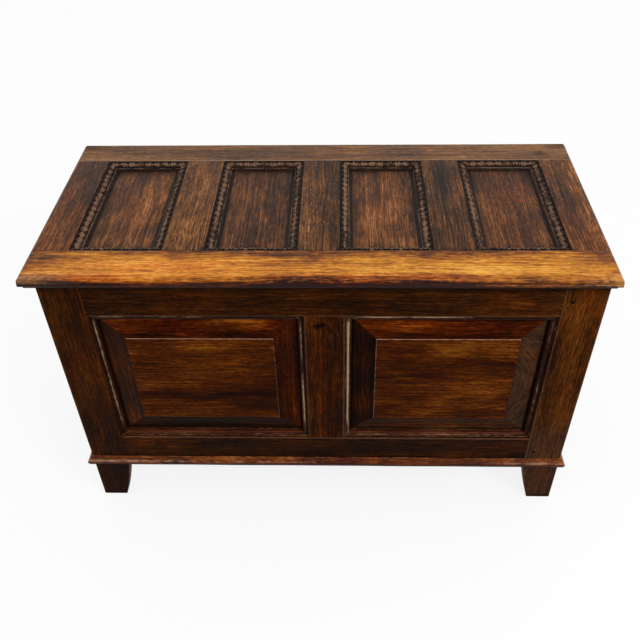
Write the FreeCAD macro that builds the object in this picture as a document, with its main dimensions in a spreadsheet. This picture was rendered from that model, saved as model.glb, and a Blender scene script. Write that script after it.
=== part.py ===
import FreeCAD, Part
import math
import os
import re

import Sketcher

# Driving sizes of the coffer, in millimetres.
SIZES = {
    # Overall: the lid covers the whole plan of the chest, and the carcase stands
    # a little to the right of its middle.
    "carcase_shift": 6,
    "lid_width": 1164,
    "lid_depth": 530,
    "overall_height": 700,
    "lid_thickness": 28,
    "lid_gap": 0.3,
    "side_overhang": 22.5,
    "front_overhang": 15.5,
    "back_overhang": 15,
    # Carcase frames: stiles run down to the floor as tapered feet.
    "stile_width": 84.5,
    "foot_width": 56,
    "foot_height": 130,
    "foot_curve_radius": 900,
    "frame_thickness": 32,
    "side_rail_thickness": 28,
    "top_rail_height": 77,
    "bottom_rail_height": 92,
    "muntin_width": 82,
    "muntin_offset": 6,
    # Mortise and tenon joints.
    "tenon_length": 45,
    "tenon_thickness": 10,
    "tenon_setback": 11,
    "tenon_shoulder": 15,
    "muntin_tenon_length": 40,
    "side_tenon_length": 24,
    "side_tenon_thickness": 10,
    "side_tenon_setback": 9,
    "mortise_clearance": 0.2,
    # Draw pegs, whittled to eight sides and driven into holes pared to match.
    "peg_radius": 4.5,
    "peg_set": 17,
    "side_peg_set": 12,
    "side_peg_length": 30,
    "peg_proud": 0.6,
    "peg_clearance": 0.1,
    # Raised-and-fielded panels, loose in their grooves.
    "groove_depth": 12,
    "panel_play": 2,
    "panel_clearance": 0.2,
    "panel_tongue": 7,
    "panel_edge_recess": 17,
    "field_recess": 5,
    "field_step": 2,
    "bevel_width": 51,
    "back_panel_thickness": 9,
    "back_panel_recess": 11,
    # Bead moulding planted round each fielded panel.
    "bead_strip_width": 14,
    "bead_fillet_width": 3.6,
    "bead_fillet_rise": 11,
    "bead_outer_rise": 9.5,
    "bead_inner_rise": 7,
    "bead_radius": 5.6,
    "trim_clearance": 0.1,
    # Base moulding: a cove over a rounded nose and a low fillet.
    "base_height": 22,
    "base_fillet_height": 2.5,
    "base_fillet_depth": 9.5,
    "base_nose_height": 11,
    "base_nose_depth": 8,
    "base_nose_radius": 6.2,
    "base_cove_depth": 6.5,
    "base_cove_radius": 11,
    "base_top_edge": 1.2,
    # Floor boards on their ledgers.
    "ledger_rise": 16,
    "ledger_height": 20,
    "ledger_width": 22,
    "board_thickness": 14,
    "board_gap": 0.6,
    # Lid frame.
    "lid_front_rail_width": 95,
    "lid_back_rail_width": 76,
    "lid_stile_width": 80.5,
    "lid_muntin_width": 84,
    "lid_tenon_length": 40,
    "lid_tenon_thickness": 8,
    "lid_tenon_setback": 10,
    "lid_tenon_shoulder": 13,
    "lid_tenon_end_set": 22,
    "lid_groove_depth": 10,
    "lid_panel_recess": 14,
    "lid_panel_thickness": 7,
    # Nosing along the front and both ends of the lid: roll, bead and cove.
    "nose_depth": 11,
    "roll_height": 13,
    "roll_radius": 9,
    "roll_quirk": 0.6,
    "nose_bead_height": 6.5,
    "nose_bead_radius": 3.7,
    "nose_cove_depth": 9,
    "nose_cove_radius": 9,
    # Moulding planted round each lid panel: ovolo, fillet and cove.
    "lid_strip_width": 25,
    "lid_strip_height": 13,
    "lid_fillet_width": 2.5,
    "lid_ovolo_top": 12,
    "lid_ovolo_width": 15.5,
    "lid_ovolo_low": 6.5,
    "lid_ovolo_radius": 14,
    "lid_step_rise": 5,
    "lid_step_width": 2,
    "lid_cove_radius": 7,
    "lid_strip_edge": 1.2,
    # Butt hinges under the rear overhang.
    "hinge_inset": 219.5,
    "hinge_length": 76,
    "hinge_set": 2,
    "leaf_depth": 27,
    "leaf_thickness": 2.2,
    "knuckle_radius": 4.6,
    "knuckle_gap": 0.3,
    "knuckle_room": 0.6,
    "hinge_pin_radius": 2,
    "hinge_pin_clearance": 0.06,
    # Hand-cut nails with square countersunk heads, three to a leaf.
    "nail_pitch": 25,
    "nail_set": 17,
    "nail_head": 8,
    "nail_head_height": 1.7,
    "nail_shank": 3.6,
    "nail_point": 1.2,
    "nail_length": 18,
    "nail_clearance": 0.1,
}

# Places and sizes that follow from the driving sizes.
FORMULAS = {
    "carcase_half": "lid_width / 2 - side_overhang",
    "front_face": "front_overhang - lid_depth / 2",
    "back_face": "lid_depth / 2 - back_overhang",
    "front_inside": "front_face + frame_thickness",
    "back_inside": "back_face - frame_thickness",
    "side_inside": "carcase_half - side_rail_thickness",
    "carcase_top": "overall_height - lid_thickness - lid_gap",
    "top_rail_low": "carcase_top - top_rail_height",
    "bottom_rail_top": "foot_height + bottom_rail_height",
    "opening_edge": "carcase_half - stile_width",
    "left_opening": "opening_edge + muntin_offset - muntin_width / 2",
    "right_opening": "opening_edge - muntin_offset - muntin_width / 2",
    "opening_height": "top_rail_low - bottom_rail_top",
    "side_opening": "back_inside - front_inside",
    "panel_lap": "groove_depth - panel_play",
    "tongue_back": "panel_edge_recess + panel_tongue",
    "back_panel_inside": "back_panel_recess + back_panel_thickness",
    "field_rise": "panel_edge_recess - field_recess",
    "bevel_rise": "field_rise - field_step",
    "bevel_set": "bead_strip_width + 2 * trim_clearance",
    "base_nose_swell": "base_nose_radius - sqrt(base_nose_radius^2 - base_nose_height^2 / 4)",
    "base_nose_top": "base_fillet_height + base_nose_height",
    "base_depth": "base_nose_depth + base_nose_swell",
    "ledger_low": "foot_height + ledger_rise",
    "ledger_top": "ledger_low + ledger_height",
    "lid_underside": "overall_height - lid_thickness",
    "lid_front_joint": "lid_front_rail_width - lid_depth / 2",
    "lid_back_joint": "lid_depth / 2 - lid_back_rail_width",
    "lid_opening_depth": "lid_back_joint - lid_front_joint",
    "lid_seat": "overall_height - lid_panel_recess",
    "lid_panel_lap": "lid_groove_depth - panel_play",
    "nose_bead_swell": "nose_bead_radius - sqrt(nose_bead_radius^2 - nose_bead_height^2 / 4)",
    "nose_bead_top": "lid_thickness - roll_height",
    "nose_bead_low": "nose_bead_top - nose_bead_height",
    "roll_foot": "nose_bead_swell + roll_quirk",
    "hinge_place": "carcase_half - hinge_inset",
    "hinge_axis_y": "back_face + hinge_set",
    "hinge_axis_z": "carcase_top + lid_gap / 2",
    "knuckle_length": "hinge_length / 3",
    "leaf_back": "hinge_axis_y - knuckle_radius - knuckle_room",
    "leaf_front": "hinge_axis_y - leaf_depth",
}

LID_PANELS = 4
FLOOR_BOARDS = 5
PEG_SIDES = 8
NAILS_PER_LEAF = 3
FORMULAS["lid_opening"] = (
    f"(lid_width - 2 * lid_stile_width - {LID_PANELS - 1} * lid_muntin_width) / {LID_PANELS}"
)
FORMULAS["board_width"] = f"(2 * side_inside - {FLOOR_BOARDS + 1} * board_gap) / {FLOOR_BOARDS}"

X_AXIS = FreeCAD.Vector(1, 0, 0)
Y_AXIS = FreeCAD.Vector(0, 1, 0)
Z_AXIS = FreeCAD.Vector(0, 0, 1)
UPRIGHT = FreeCAD.Rotation()
ROD_ALONG_X = FreeCAD.Rotation(Y_AXIS, 90)
ROD_ALONG_Y = FreeCAD.Rotation(X_AXIS, -90)
DRIVEN_DOWN = FreeCAD.Rotation(X_AXIS, -90)
DRIVEN_UP = FreeCAD.Rotation(X_AXIS, 90)
FACING_FRONT = FreeCAD.Rotation(X_AXIS, 90)
FACING_LEFT = FreeCAD.Rotation(Z_AXIS, -90) * FACING_FRONT

doc = FreeCAD.newDocument("CofferChest")
sheet = doc.addObject("Spreadsheet::Sheet", "Sizes")
pieces = {}


def fill_sheet():
    """Write each driving size and its alias into the sheet."""
    for row, (alias, size) in enumerate(SIZES.items(), 1):
        sheet.set(f"A{row}", alias)
        sheet.set(f"B{row}", str(size))
        sheet.setAlias(f"B{row}", alias)
    doc.recompute()


def formula(text):
    """Turn words for sizes and places into an expression on the sheet."""

    def spell(match):
        word = match.group()
        if word in FORMULAS:
            return f"({formula(FORMULAS[word])})"
        return f"Sizes.{word}" if word in SIZES else word

    return re.sub(r"[a-z]\w*", spell, text)


def value(text):
    """The present number of a formula."""
    return float(sheet.evalExpression(formula(text)))


def bind(item, bindings):
    """Tie properties of an object to formulas."""
    for name, text in bindings.items():
        item.setExpression(name, formula(text))
    return item


def place(item, at, turn=UPRIGHT):
    """Turn an object and tie its position to three formulas."""
    item.Placement = FreeCAD.Placement(FreeCAD.Vector(), turn)
    return bind(item, {f"Placement.Base.{axis}": text for axis, text in zip("xyz", at)})


def piece(item):
    """Keep an object as one sub-part of the chest, under its own name."""
    pieces[item.Name] = item
    return item


def eased(span, room):
    """A span made longer at both ends by a clearance."""
    low, high = span
    return f"{low} - {room}", f"{high} + {room}"


def box(name, x, y, z):
    """A block that reaches between two formulas along each axis."""
    spans = (x, y, z)
    block = doc.addObject("Part::Box", name)
    sides = zip(("Length", "Width", "Height"), spans)
    bind(block, {side: f"({high}) - ({low})" for side, (low, high) in sides})
    return place(block, [low for low, high in spans])


def cylinder(name, radius, length, at, turn=UPRIGHT):
    """A round rod or hole that starts at a point."""
    rod = doc.addObject("Part::Cylinder", name)
    bind(rod, {"Radius": radius, "Height": length})
    return place(rod, at, turn)


def fuse(name, *solids):
    """Several solids made one, with coplanar faces joined."""
    whole = doc.addObject("Part::MultiFuse", name)
    whole.Shapes = list(solids)
    whole.Refine = True
    return whole


def cut(name, base, *tools):
    """A solid with one or more tools taken out of it."""
    carved = doc.addObject("Part::Cut", name)
    carved.Base = base
    carved.Tool = tools[0] if len(tools) == 1 else fuse(f"{name}_tools", *tools)
    return carved


def common(name, base, tool):
    """The space that two solids share."""
    shared = doc.addObject("Part::Common", name)
    shared.Base = base
    shared.Tool = tool
    return shared


def group(name, items):
    """Separate solids kept together."""
    together = doc.addObject("Part::Compound", name)
    together.Links = list(items)
    return together


def set_over(name, items):
    """Objects moved together to the carcase's place under the lid."""
    return place(group(name, items), ("carcase_shift", "0", "0"))


def mirrored(name, source):
    """The right-hand twin of a left-hand object."""
    twin = doc.addObject("Part::Mirroring", name)
    twin.Source = source
    twin.Normal = X_AXIS
    return twin


def arc_middle(start, end, radius, bulge):
    """The middle point of an arc that bulges to one side of its chord."""
    chord = end - start
    half = chord.Length / 2
    outward = FreeCAD.Vector(chord.y, -chord.x, 0).normalize()
    rise = radius - math.sqrt(radius**2 - half**2)
    return (start + end) / 2 + outward * rise * bulge


def outline(body, plane, corners):
    """A closed sketch on one of a body's own planes.

    Each corner is (across, up) and goes round the solid with its inside on the
    left. A third and fourth value make the edge that follows it an arc of that
    radius, which swells out (1) or is hollow (-1).
    """
    sketch = body.newObject("Sketcher::SketchObject", f"{body.Name}_outline")
    planes = {feature.Role: feature for feature in body.Origin.OriginFeatures}
    sketch.AttachmentSupport = (planes[plane], "")
    sketch.MapMode = "FlatFace"
    points = [FreeCAD.Vector(value(corner[0]), value(corner[1]), 0) for corner in corners]
    ends = []
    for index, corner in enumerate(corners):
        start = points[index]
        end = points[(index + 1) % len(points)]
        if len(corner) == 2:
            edge = Part.LineSegment(start, end)
        else:
            edge = Part.Arc(start, arc_middle(start, end, value(corner[2]), corner[3]), end)
        sketch.addGeometry(edge, False)
        gaps = [sketch.getPoint(index, end_of).distanceToPoint(start) for end_of in (1, 2)]
        ends.append((1, 2) if gaps[0] < gaps[1] else (2, 1))
    for index, corner in enumerate(corners):
        following = (index + 1) % len(corners)
        join = (index, ends[index][1], following, ends[following][0])
        sketch.addConstraint(Sketcher.Constraint("Coincident", *join))
        for kind, axis, text in (("DistanceX", -2, corner[0]), ("DistanceY", -1, corner[1])):
            if text == "0":
                sketch.addConstraint(Sketcher.Constraint("PointOnObject", index, ends[index][0], axis))
                continue
            size = Sketcher.Constraint(kind, -1, 1, index, ends[index][0], value(text))
            sketch.setExpression(f"Constraints[{sketch.addConstraint(size)}]", formula(text))
        if len(corner) > 2:
            size = Sketcher.Constraint("Radius", index, value(corner[2]))
            sketch.setExpression(f"Constraints[{sketch.addConstraint(size)}]", formula(corner[2]))
    return sketch


def extrusion(name, plane, corners, length, reverse=False):
    """A body padded from one outline."""
    body = doc.addObject("PartDesign::Body", name)
    sketch = outline(body, plane, corners)
    pad = body.newObject("PartDesign::Pad", f"{name}_pad")
    pad.Profile = sketch
    pad.Reversed = reverse
    bind(pad, {"Length": length})
    return body


def wedge(name, base_x, base_z, top_x, top_z, height):
    """A block whose far face, at its height along Y, differs from its near face."""
    block = doc.addObject("Part::Wedge", name)
    faces = (("X", base_x), ("Z", base_z), ("X2", top_x), ("Z2", top_z), ("Y", ("0", height)))
    for letter, (low, high) in faces:
        bind(block, {f"{letter}min": low, f"{letter}max": high})
    return block


RAIL_LEVELS = {"top": ("top_rail_low", "carcase_top"), "bottom": ("foot_height", "bottom_rail_top")}
OPENING_SPAN = ("bottom_rail_top", "top_rail_low")


def depth(side, near, far):
    """The span along Y between two distances in from the front or back face."""
    if side == "front":
        return f"front_face + {near}", f"front_face + {far}"
    return f"back_face - ({far})", f"back_face - ({near})"


def tenon_depth(side):
    """The span along Y of a frame's tenons."""
    return depth(side, "tenon_setback", "tenon_setback + tenon_thickness")


def tenon_height(level):
    """The height of a rail's tenon, between its shoulders."""
    low, high = RAIL_LEVELS[level]
    return f"{low} + tenon_shoulder", f"{high} - tenon_shoulder"


def rail_middle(level):
    """The mid height of a rail, where its pegs go."""
    low, high = RAIL_LEVELS[level]
    return f"({low} + {high}) / 2"


def peg(name, length, at, turn, room="0"):
    """One whittled peg, or its hole."""
    stick = doc.addObject("Part::Prism", name)
    stick.Polygon = PEG_SIDES
    bind(stick, {"Circumradius": f"peg_radius + {room}", "Height": length})
    return place(stick, at, turn)


class Joint:
    """The tenon, socket and pegs of one rail level of one left-hand frame."""

    def __init__(self, name, tenon_span, peg_at, turn, peg_length):
        x, y, z = tenon_span
        room = "mortise_clearance"
        self.tenon = box(f"{name}_tenon", x, y, z)
        self.socket = box(f"{name}_socket", eased(x, room), eased(y, room), eased(z, room))
        self.pegs = []
        self.holes = []
        for index, at in enumerate(peg_at):
            self.pegs.append(peg(f"{name}_peg_{index}", peg_length, at, turn))
            self.holes.append(peg(f"{name}_hole_{index}", peg_length, at, turn, "peg_clearance"))


def frame_joint(side, level):
    """A front or back rail let into the stiles, pegged through their thickness."""
    x = ("-opening_edge - tenon_length", "opening_edge + tenon_length")
    start = {"front": "front_face - peg_proud", "back": "back_face - frame_thickness"}[side]
    at = ("-opening_edge - peg_set", start, rail_middle(level))
    span = (x, tenon_depth(side), tenon_height(level))
    return Joint(f"{side}_{level}", span, [at], ROD_ALONG_Y, "frame_thickness + peg_proud")


def side_joint(level):
    """A side rail let into the front and back stiles, pegged from the side."""
    x = ("-carcase_half + side_tenon_setback", "-carcase_half + side_tenon_setback + side_tenon_thickness")
    y = ("front_inside - side_tenon_length", "back_inside + side_tenon_length")
    start = "-carcase_half - peg_proud"
    stations = ("front_inside - side_peg_set", "back_inside + side_peg_set")
    ats = [(start, station, rail_middle(level)) for station in stations]
    span = (x, y, tenon_height(level))
    return Joint(f"side_{level}", span, ats, ROD_ALONG_X, "side_peg_length + peg_proud")


def muntin_edges(side):
    """The left and right edges of a muntin; the front one stands right of the middle."""
    middle = {"front": "muntin_offset", "back": "0"}[side]
    return f"{middle} - muntin_width / 2", f"{middle} + muntin_width / 2"


def carcase_spaces():
    """The panel grooves: two in the front frame, two in the back and one in the left side."""
    z = eased(OPENING_SPAN, "groove_depth")
    spaces = {}
    for side, outer, inner in (
        ("front", "panel_edge_recess", "tongue_back"),
        ("back", "back_panel_recess", "back_panel_inside"),
    ):
        y = eased(depth(side, outer, inner), "panel_clearance")
        left_edge, right_edge = muntin_edges(side)
        spaces[side] = [
            box(f"{side}_left_space", eased(("-opening_edge", left_edge), "groove_depth"), y, z),
            box(f"{side}_right_space", eased((right_edge, "opening_edge"), "groove_depth"), y, z),
        ]
    side_x = eased(("-carcase_half + panel_edge_recess", "-carcase_half + tongue_back"), "panel_clearance")
    side_y = eased(("front_inside", "back_inside"), "groove_depth")
    spaces["side"] = [box("side_space", side_x, side_y, z)]
    return spaces


def make_stiles(side, joints, spaces):
    """A corner stile whose foot tapers on its inner edge, and its right-hand twin."""
    corners = [
        ("0", "0"),
        ("foot_width", "0", "foot_curve_radius", 1),
        ("stile_width", "foot_height"),
        ("stile_width", "carcase_top"),
        ("0", "carcase_top"),
    ]
    blank = extrusion(f"{side}_stile_blank", "XZ_Plane", corners, "frame_thickness", reverse=True)
    low, high = depth(side, "0", "frame_thickness")
    place(blank, ("-carcase_half", low, "0"))
    tools = [spaces[side][0], *spaces["side"]]
    for level in RAIL_LEVELS:
        for joint in (joints[side, level], joints["side", level]):
            tools += [joint.socket, *joint.holes]
    left = piece(cut(f"{side}_left_stile", blank, *tools))
    piece(mirrored(f"{side}_right_stile", left))


def make_rails(side, joints, spaces, seats):
    """The top and bottom rails of the front or back frame."""
    muntin_socket = muntin_tenon(side, "socket", "mortise_clearance")
    for level, span in RAIL_LEVELS.items():
        joint = joints[side, level]
        x = ("-opening_edge", "opening_edge")
        bar = box(f"{side}_{level}_bar", x, depth(side, "0", "frame_thickness"), span)
        blank = fuse(f"{side}_{level}_blank", bar, joint.tenon)
        holes = joint.holes + [mirrored(f"{hole.Name}_right", hole) for hole in joint.holes]
        tools = [*spaces, muntin_socket, *holes, *seats.get((side, level), [])]
        piece(cut(f"{side}_{level}_rail", blank, *tools))


def muntin_tenon(side, kind, room):
    """The upright tenon that runs through a muntin into both rails."""
    left_edge, right_edge = muntin_edges(side)
    x = eased((f"{left_edge} + tenon_shoulder", f"{right_edge} - tenon_shoulder"), room)
    z = eased(eased(OPENING_SPAN, "muntin_tenon_length"), room)
    return box(f"{side}_muntin_{kind}", x, eased(tenon_depth(side), room), z)


def make_muntin(side, spaces):
    """The upright between the two panels of the front or back frame."""
    bar = box(f"{side}_muntin_bar", muntin_edges(side), depth(side, "0", "frame_thickness"), OPENING_SPAN)
    blank = fuse(f"{side}_muntin_blank", bar, muntin_tenon(side, "tenon", "0"))
    piece(cut(f"{side}_muntin", blank, *spaces))


def make_side_rails(joints, spaces):
    """The rails of the left side and their right-hand twins."""
    for level, span in RAIL_LEVELS.items():
        joint = joints["side", level]
        x = ("-carcase_half", "-side_inside")
        bar = box(f"side_{level}_bar", x, ("front_inside", "back_inside"), span)
        blank = fuse(f"side_{level}_blank", bar, joint.tenon)
        left = piece(cut(f"left_{level}_rail", blank, *spaces, *joint.holes))
        piece(mirrored(f"right_{level}_rail", left))


def fielded_panel(name, width, height):
    """A panel lying flat: tongue below its seat plane, bevels and field above."""
    tongue = box(f"{name}_tongue", eased(("0", width), "panel_lap"), eased(("0", height), "panel_lap"),
                 ("-panel_tongue", "0"))
    bevel_x = ("bevel_set", f"{width} - bevel_set")
    bevel_y = ("bevel_set", f"{height} - bevel_set")
    field_x = ("bevel_set + bevel_width", f"{width} - bevel_set - bevel_width")
    field_y = ("bevel_set + bevel_width", f"{height} - bevel_set - bevel_width")
    bevel = wedge(f"{name}_bevel", bevel_x, bevel_y, field_x, field_y, "bevel_rise")
    place(bevel, ("0", height, "0"), FACING_FRONT)
    field = box(f"{name}_field", field_x, field_y, ("bevel_rise", "field_rise"))
    return fuse(name, tongue, bevel, field)


def mitred_strips(name, corners, strip_width, strip_height, width, height):
    """Four lengths of one moulding, mitred round a flat rectangle."""
    strips = []
    rise = ("0", strip_height)
    for run, reach in (("across", width), ("along", height)):
        length = f"({reach} - 2 * trim_clearance)"
        bar = extrusion(f"{name}_{run}_bar", "YZ_Plane", corners, length)
        inner = (strip_width, f"{length} - {strip_width}")
        mitre = wedge(f"{name}_{run}_mitre", ("0", length), rise, inner, rise, strip_width)
        for end in range(2):
            strips.append(common(f"{name}_{run}_{end}", bar, mitre))
    near = "trim_clearance"
    far_x = f"{width} - trim_clearance"
    far_y = f"{height} - trim_clearance"
    places = ((near, near, 0), (far_x, far_y, 180), (near, far_y, -90), (far_x, near, 90))
    for strip, (x, y, angle) in zip(strips, places):
        place(strip, (x, y, "0"), FreeCAD.Rotation(Z_AXIS, angle))
    return strips


BEAD_PROFILE = [
    ("0", "0"),
    ("bead_strip_width", "0"),
    ("bead_strip_width", "bead_inner_rise", "bead_radius", 1),
    ("bead_fillet_width", "bead_outer_rise"),
    ("bead_fillet_width", "bead_fillet_rise"),
    ("0", "bead_fillet_rise"),
]
LID_STRIP_PROFILE = [
    ("0", "0"),
    ("lid_strip_width", "0"),
    ("lid_strip_width", "lid_strip_edge", "lid_cove_radius", -1),
    ("lid_fillet_width + lid_ovolo_width + lid_step_width", "lid_step_rise"),
    ("lid_fillet_width + lid_ovolo_width", "lid_step_rise"),
    ("lid_fillet_width + lid_ovolo_width", "lid_ovolo_low", "lid_ovolo_radius", 1),
    ("lid_fillet_width", "lid_ovolo_top"),
    ("lid_fillet_width", "lid_strip_height"),
    ("0", "lid_strip_height"),
]
BASE_PROFILE = [
    ("0", "0"),
    ("base_fillet_depth", "0"),
    ("base_fillet_depth", "base_fillet_height"),
    ("base_nose_depth", "base_fillet_height", "base_nose_radius", 1),
    ("base_nose_depth", "base_nose_top"),
    ("base_cove_depth", "base_nose_top", "base_cove_radius", -1),
    ("base_top_edge", "base_height"),
    ("0", "base_height"),
]


def make_fielded_panels():
    """The fielded panels of the front and the sides, each with its bead moulding."""
    front_seat = "front_face + panel_edge_recess"
    side_seat = "-carcase_half + panel_edge_recess"
    muntin_right = muntin_edges("front")[1]
    settings = (
        ("front_left", "left_opening", ("-opening_edge", front_seat, "bottom_rail_top"), FACING_FRONT),
        ("front_right", "right_opening", (muntin_right, front_seat, "bottom_rail_top"), FACING_FRONT),
        ("left", "side_opening", (side_seat, "back_inside", "bottom_rail_top"), FACING_LEFT),
    )
    for name, width, at, turn in settings:
        panel = fielded_panel(f"{name}_panel", width, "opening_height")
        strips = mitred_strips(f"{name}_bead", BEAD_PROFILE, "bead_strip_width", "panel_edge_recess",
                               width, "opening_height")
        moulding = group(f"{name}_panel_moulding", strips)
        for item, kind in ((panel, "panel"), (moulding, "panel_moulding")):
            piece(place(item, at, turn))
            if name == "left":
                piece(mirrored(f"right_{kind}", item))


def make_back_panels():
    """The two plain panels of the back."""
    x = eased(("-opening_edge", muntin_edges("back")[0]), "panel_lap")
    y = depth("back", "back_panel_recess", "back_panel_inside")
    left = piece(box("back_left_panel", x, y, eased(OPENING_SPAN, "panel_lap")))
    piece(mirrored("back_right_panel", left))


def make_base_mouldings():
    """The base moulding across the front, mitred to a return along each side."""
    width = "2 * carcase_half"
    reach = "back_face - front_face"
    runs = (
        ("front", width, ("-base_depth", f"{width} + base_depth"), "carcase_half", 180),
        ("left", reach, ("-base_depth", reach), "-carcase_half", 90),
    )
    for side, length, tip, x, angle in runs:
        bar = extrusion(f"base_{side}_bar", "YZ_Plane", BASE_PROFILE, f"{length} + 2 * base_depth")
        place(bar, ("-base_depth", "0", "0"))
        rise = ("0", "base_height")
        mitre = wedge(f"base_{side}_mitre", ("0", length), rise, tip, rise, "base_depth")
        moulding = piece(common(f"base_moulding_{side}", bar, mitre))
        place(moulding, (x, "front_face", "foot_height"), FreeCAD.Rotation(Z_AXIS, angle))
    piece(mirrored("base_moulding_right", moulding))


def make_floor():
    """Floor boards that run from front to back on two ledgers."""
    reach = eased(("-side_inside", "side_inside"), "(-board_gap)")
    ledgers = (
        ("front_ledger", ("front_inside", "front_inside + ledger_width")),
        ("back_ledger", ("back_inside - ledger_width", "back_inside")),
    )
    for name, y in ledgers:
        piece(box(name, reach, y, ("ledger_low", "ledger_top")))
    y = eased(("front_inside", "back_inside"), "(-board_gap)")
    z = ("ledger_top", "ledger_top + board_thickness")
    for index in range(FLOOR_BOARDS):
        start = f"-side_inside + board_gap + {index} * (board_width + board_gap)"
        piece(box(f"floor_board_{index + 1}", (start, f"{start} + board_width"), y, z))


def make_pegs(joints):
    """Every peg of the carcase, as one set."""
    left = [stick for joint in joints.values() for stick in joint.pegs]
    right = [mirrored(f"{stick.Name}_right", stick) for stick in left]
    piece(group("carcase_pegs", left + right))


def nail(name, at, turn, room="0"):
    """A square nail with its head at the origin, or its hole."""

    def square(side):
        return f"-{side} / 2 - {room}", f"{side} / 2 + {room}"

    head_top = square("nail_head")
    neck = square("nail_shank")
    point = square("nail_point")
    head = wedge(f"{name}_head", head_top, head_top, neck, neck, "nail_head_height")
    shank = wedge(f"{name}_shank", neck, neck, point, point, f"nail_length + {room}")
    return place(fuse(name, head, shank), at, turn)


def make_hinge_leaf(name, z, knuckles, face, turn):
    """One leaf of the left hinge: a plate, its knuckles and its nail holes.

    Returns the leaf, its nails and the seat that the wood gives them.
    """
    start = "-hinge_place - hinge_length / 2"
    x = (start, f"{start} + hinge_length")
    solids = [box(f"{name}_plate", x, ("leaf_front", "leaf_back"), z)]
    for index, (offset, length) in enumerate(knuckles):
        first = f"{start} + {offset}"
        tab_x = (first, f"{first} + {length}")
        solids.append(box(f"{name}_tab_{index}", tab_x, ("leaf_back", "hinge_axis_y"), z))
        at = (first, "hinge_axis_y", "hinge_axis_z")
        solids.append(cylinder(f"{name}_knuckle_{index}", "knuckle_radius", length, at, ROD_ALONG_X))
    axis = (start, "hinge_axis_y", "hinge_axis_z")
    bore_radius = "hinge_pin_radius + hinge_pin_clearance"
    bore = cylinder(f"{name}_bore", bore_radius, "hinge_length", axis, ROD_ALONG_X)
    nails = []
    holes = []
    for index in range(NAILS_PER_LEAF):
        offset = index - (NAILS_PER_LEAF - 1) / 2
        at = (f"-hinge_place + {offset} * nail_pitch", "hinge_axis_y - nail_set", face)
        nails.append(nail(f"{name}_nail_{index}", at, turn))
        holes.append(nail(f"{name}_nail_hole_{index}", at, turn, "nail_clearance"))
    leaf = cut(name, fuse(f"{name}_blank", *solids), bore, *holes)
    recess_y = eased(("leaf_front", "hinge_axis_y"), "mortise_clearance")
    recess = box(f"{name}_recess", eased(x, "mortise_clearance"), recess_y, z)
    notch_start = (f"{start} - knuckle_room", "hinge_axis_y", "hinge_axis_z")
    notch_radius = "knuckle_radius + knuckle_room"
    notch_length = "hinge_length + 2 * knuckle_room"
    notch = cylinder(f"{name}_notch", notch_radius, notch_length, notch_start, ROD_ALONG_X)
    return leaf, nails, fuse(f"{name}_seat", recess, notch, *holes)


def make_hinges():
    """Two butt hinges whose pins lie just behind the carcase, on the lid joint.

    Returns the seats to cut in the rail under the lid and in the lid's back rail.
    """
    outer_knuckles = (("0", "knuckle_length"), ("2 * knuckle_length", "knuckle_length"))
    middle_knuckle = (("knuckle_length + knuckle_gap", "knuckle_length - 2 * knuckle_gap"),)
    carcase_z = ("carcase_top - leaf_thickness", "carcase_top")
    lid_z = ("lid_underside", "lid_underside + leaf_thickness")
    leaves = (
        ("carcase", carcase_z, outer_knuckles, "carcase_top", DRIVEN_DOWN),
        ("lid", lid_z, middle_knuckle, "lid_underside", DRIVEN_UP),
    )
    seats = {}
    for body, z, knuckles, face, turn in leaves:
        leaf, nails, seat = make_hinge_leaf(f"hinge_left_{body}_leaf", z, knuckles, face, turn)
        piece(leaf)
        piece(mirrored(f"hinge_right_{body}_leaf", leaf))
        twins = [mirrored(f"{item.Name}_right", item) for item in nails]
        piece(group(f"hinge_{body}_nails", nails + twins))
        seats[body] = [seat, mirrored(f"{seat.Name}_right", seat)]
    start = ("-hinge_place - hinge_length / 2", "hinge_axis_y", "hinge_axis_z")
    pin = piece(cylinder("hinge_left_pin", "hinge_pin_radius", "hinge_length", start, ROD_ALONG_X))
    piece(mirrored("hinge_right_pin", pin))
    return seats


def nosing(across):
    """The moulded edge of the lid from its underside up, given a way to measure in from it."""
    return [
        (across("nose_cove_depth"), "0", "nose_cove_radius", -1),
        (across("nose_bead_swell"), "nose_bead_low", "nose_bead_radius", 1),
        (across("nose_bead_swell"), "nose_bead_top"),
        (across("roll_foot"), "nose_bead_top", "roll_radius", 1),
        (across("nose_depth"), "lid_thickness"),
    ]


def reversed_edges(corners):
    """The same corners walked the other way, with each arc kept on its own edge."""
    walked = []
    for index in range(len(corners) - 1, -1, -1):
        arc = corners[index - 1][2:] if index else ()
        walked.append((*corners[index][:2], *arc))
    return walked


def lid_blank():
    """The lid's whole moulded slab: nosing on the front and both ends, back edge plain."""
    left_edge = nosing(lambda inward: inward)
    right_edge = nosing(lambda inward: f"lid_width - ({inward})")
    front_to_back = reversed_edges(left_edge) + [("lid_depth", "0"), ("lid_depth", "lid_thickness")]
    end_to_end = reversed_edges(left_edge) + right_edge
    lengthways = extrusion("lid_front_section", "YZ_Plane", front_to_back, "lid_width")
    crossways = extrusion("lid_end_section", "XZ_Plane", end_to_end, "lid_depth", reverse=True)
    for section in (lengthways, crossways):
        place(section, ("-lid_width / 2", "-lid_depth / 2", "lid_underside"))
    return common("lid_slab", lengthways, crossways)


def lid_opening_start(index):
    """The left edge of one lid panel's opening."""
    return f"-lid_width / 2 + lid_stile_width + {index} * (lid_opening + lid_muntin_width)"


def lid_tenon(name, x, room):
    """The tenon that runs through a lid stile or muntin into both rails."""
    y = eased(eased(("lid_front_joint", "lid_back_joint"), "lid_tenon_length"), room)
    z = ("overall_height - lid_tenon_setback - lid_tenon_thickness", "overall_height - lid_tenon_setback")
    return box(name, eased(x, room), y, eased(z, room))


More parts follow.
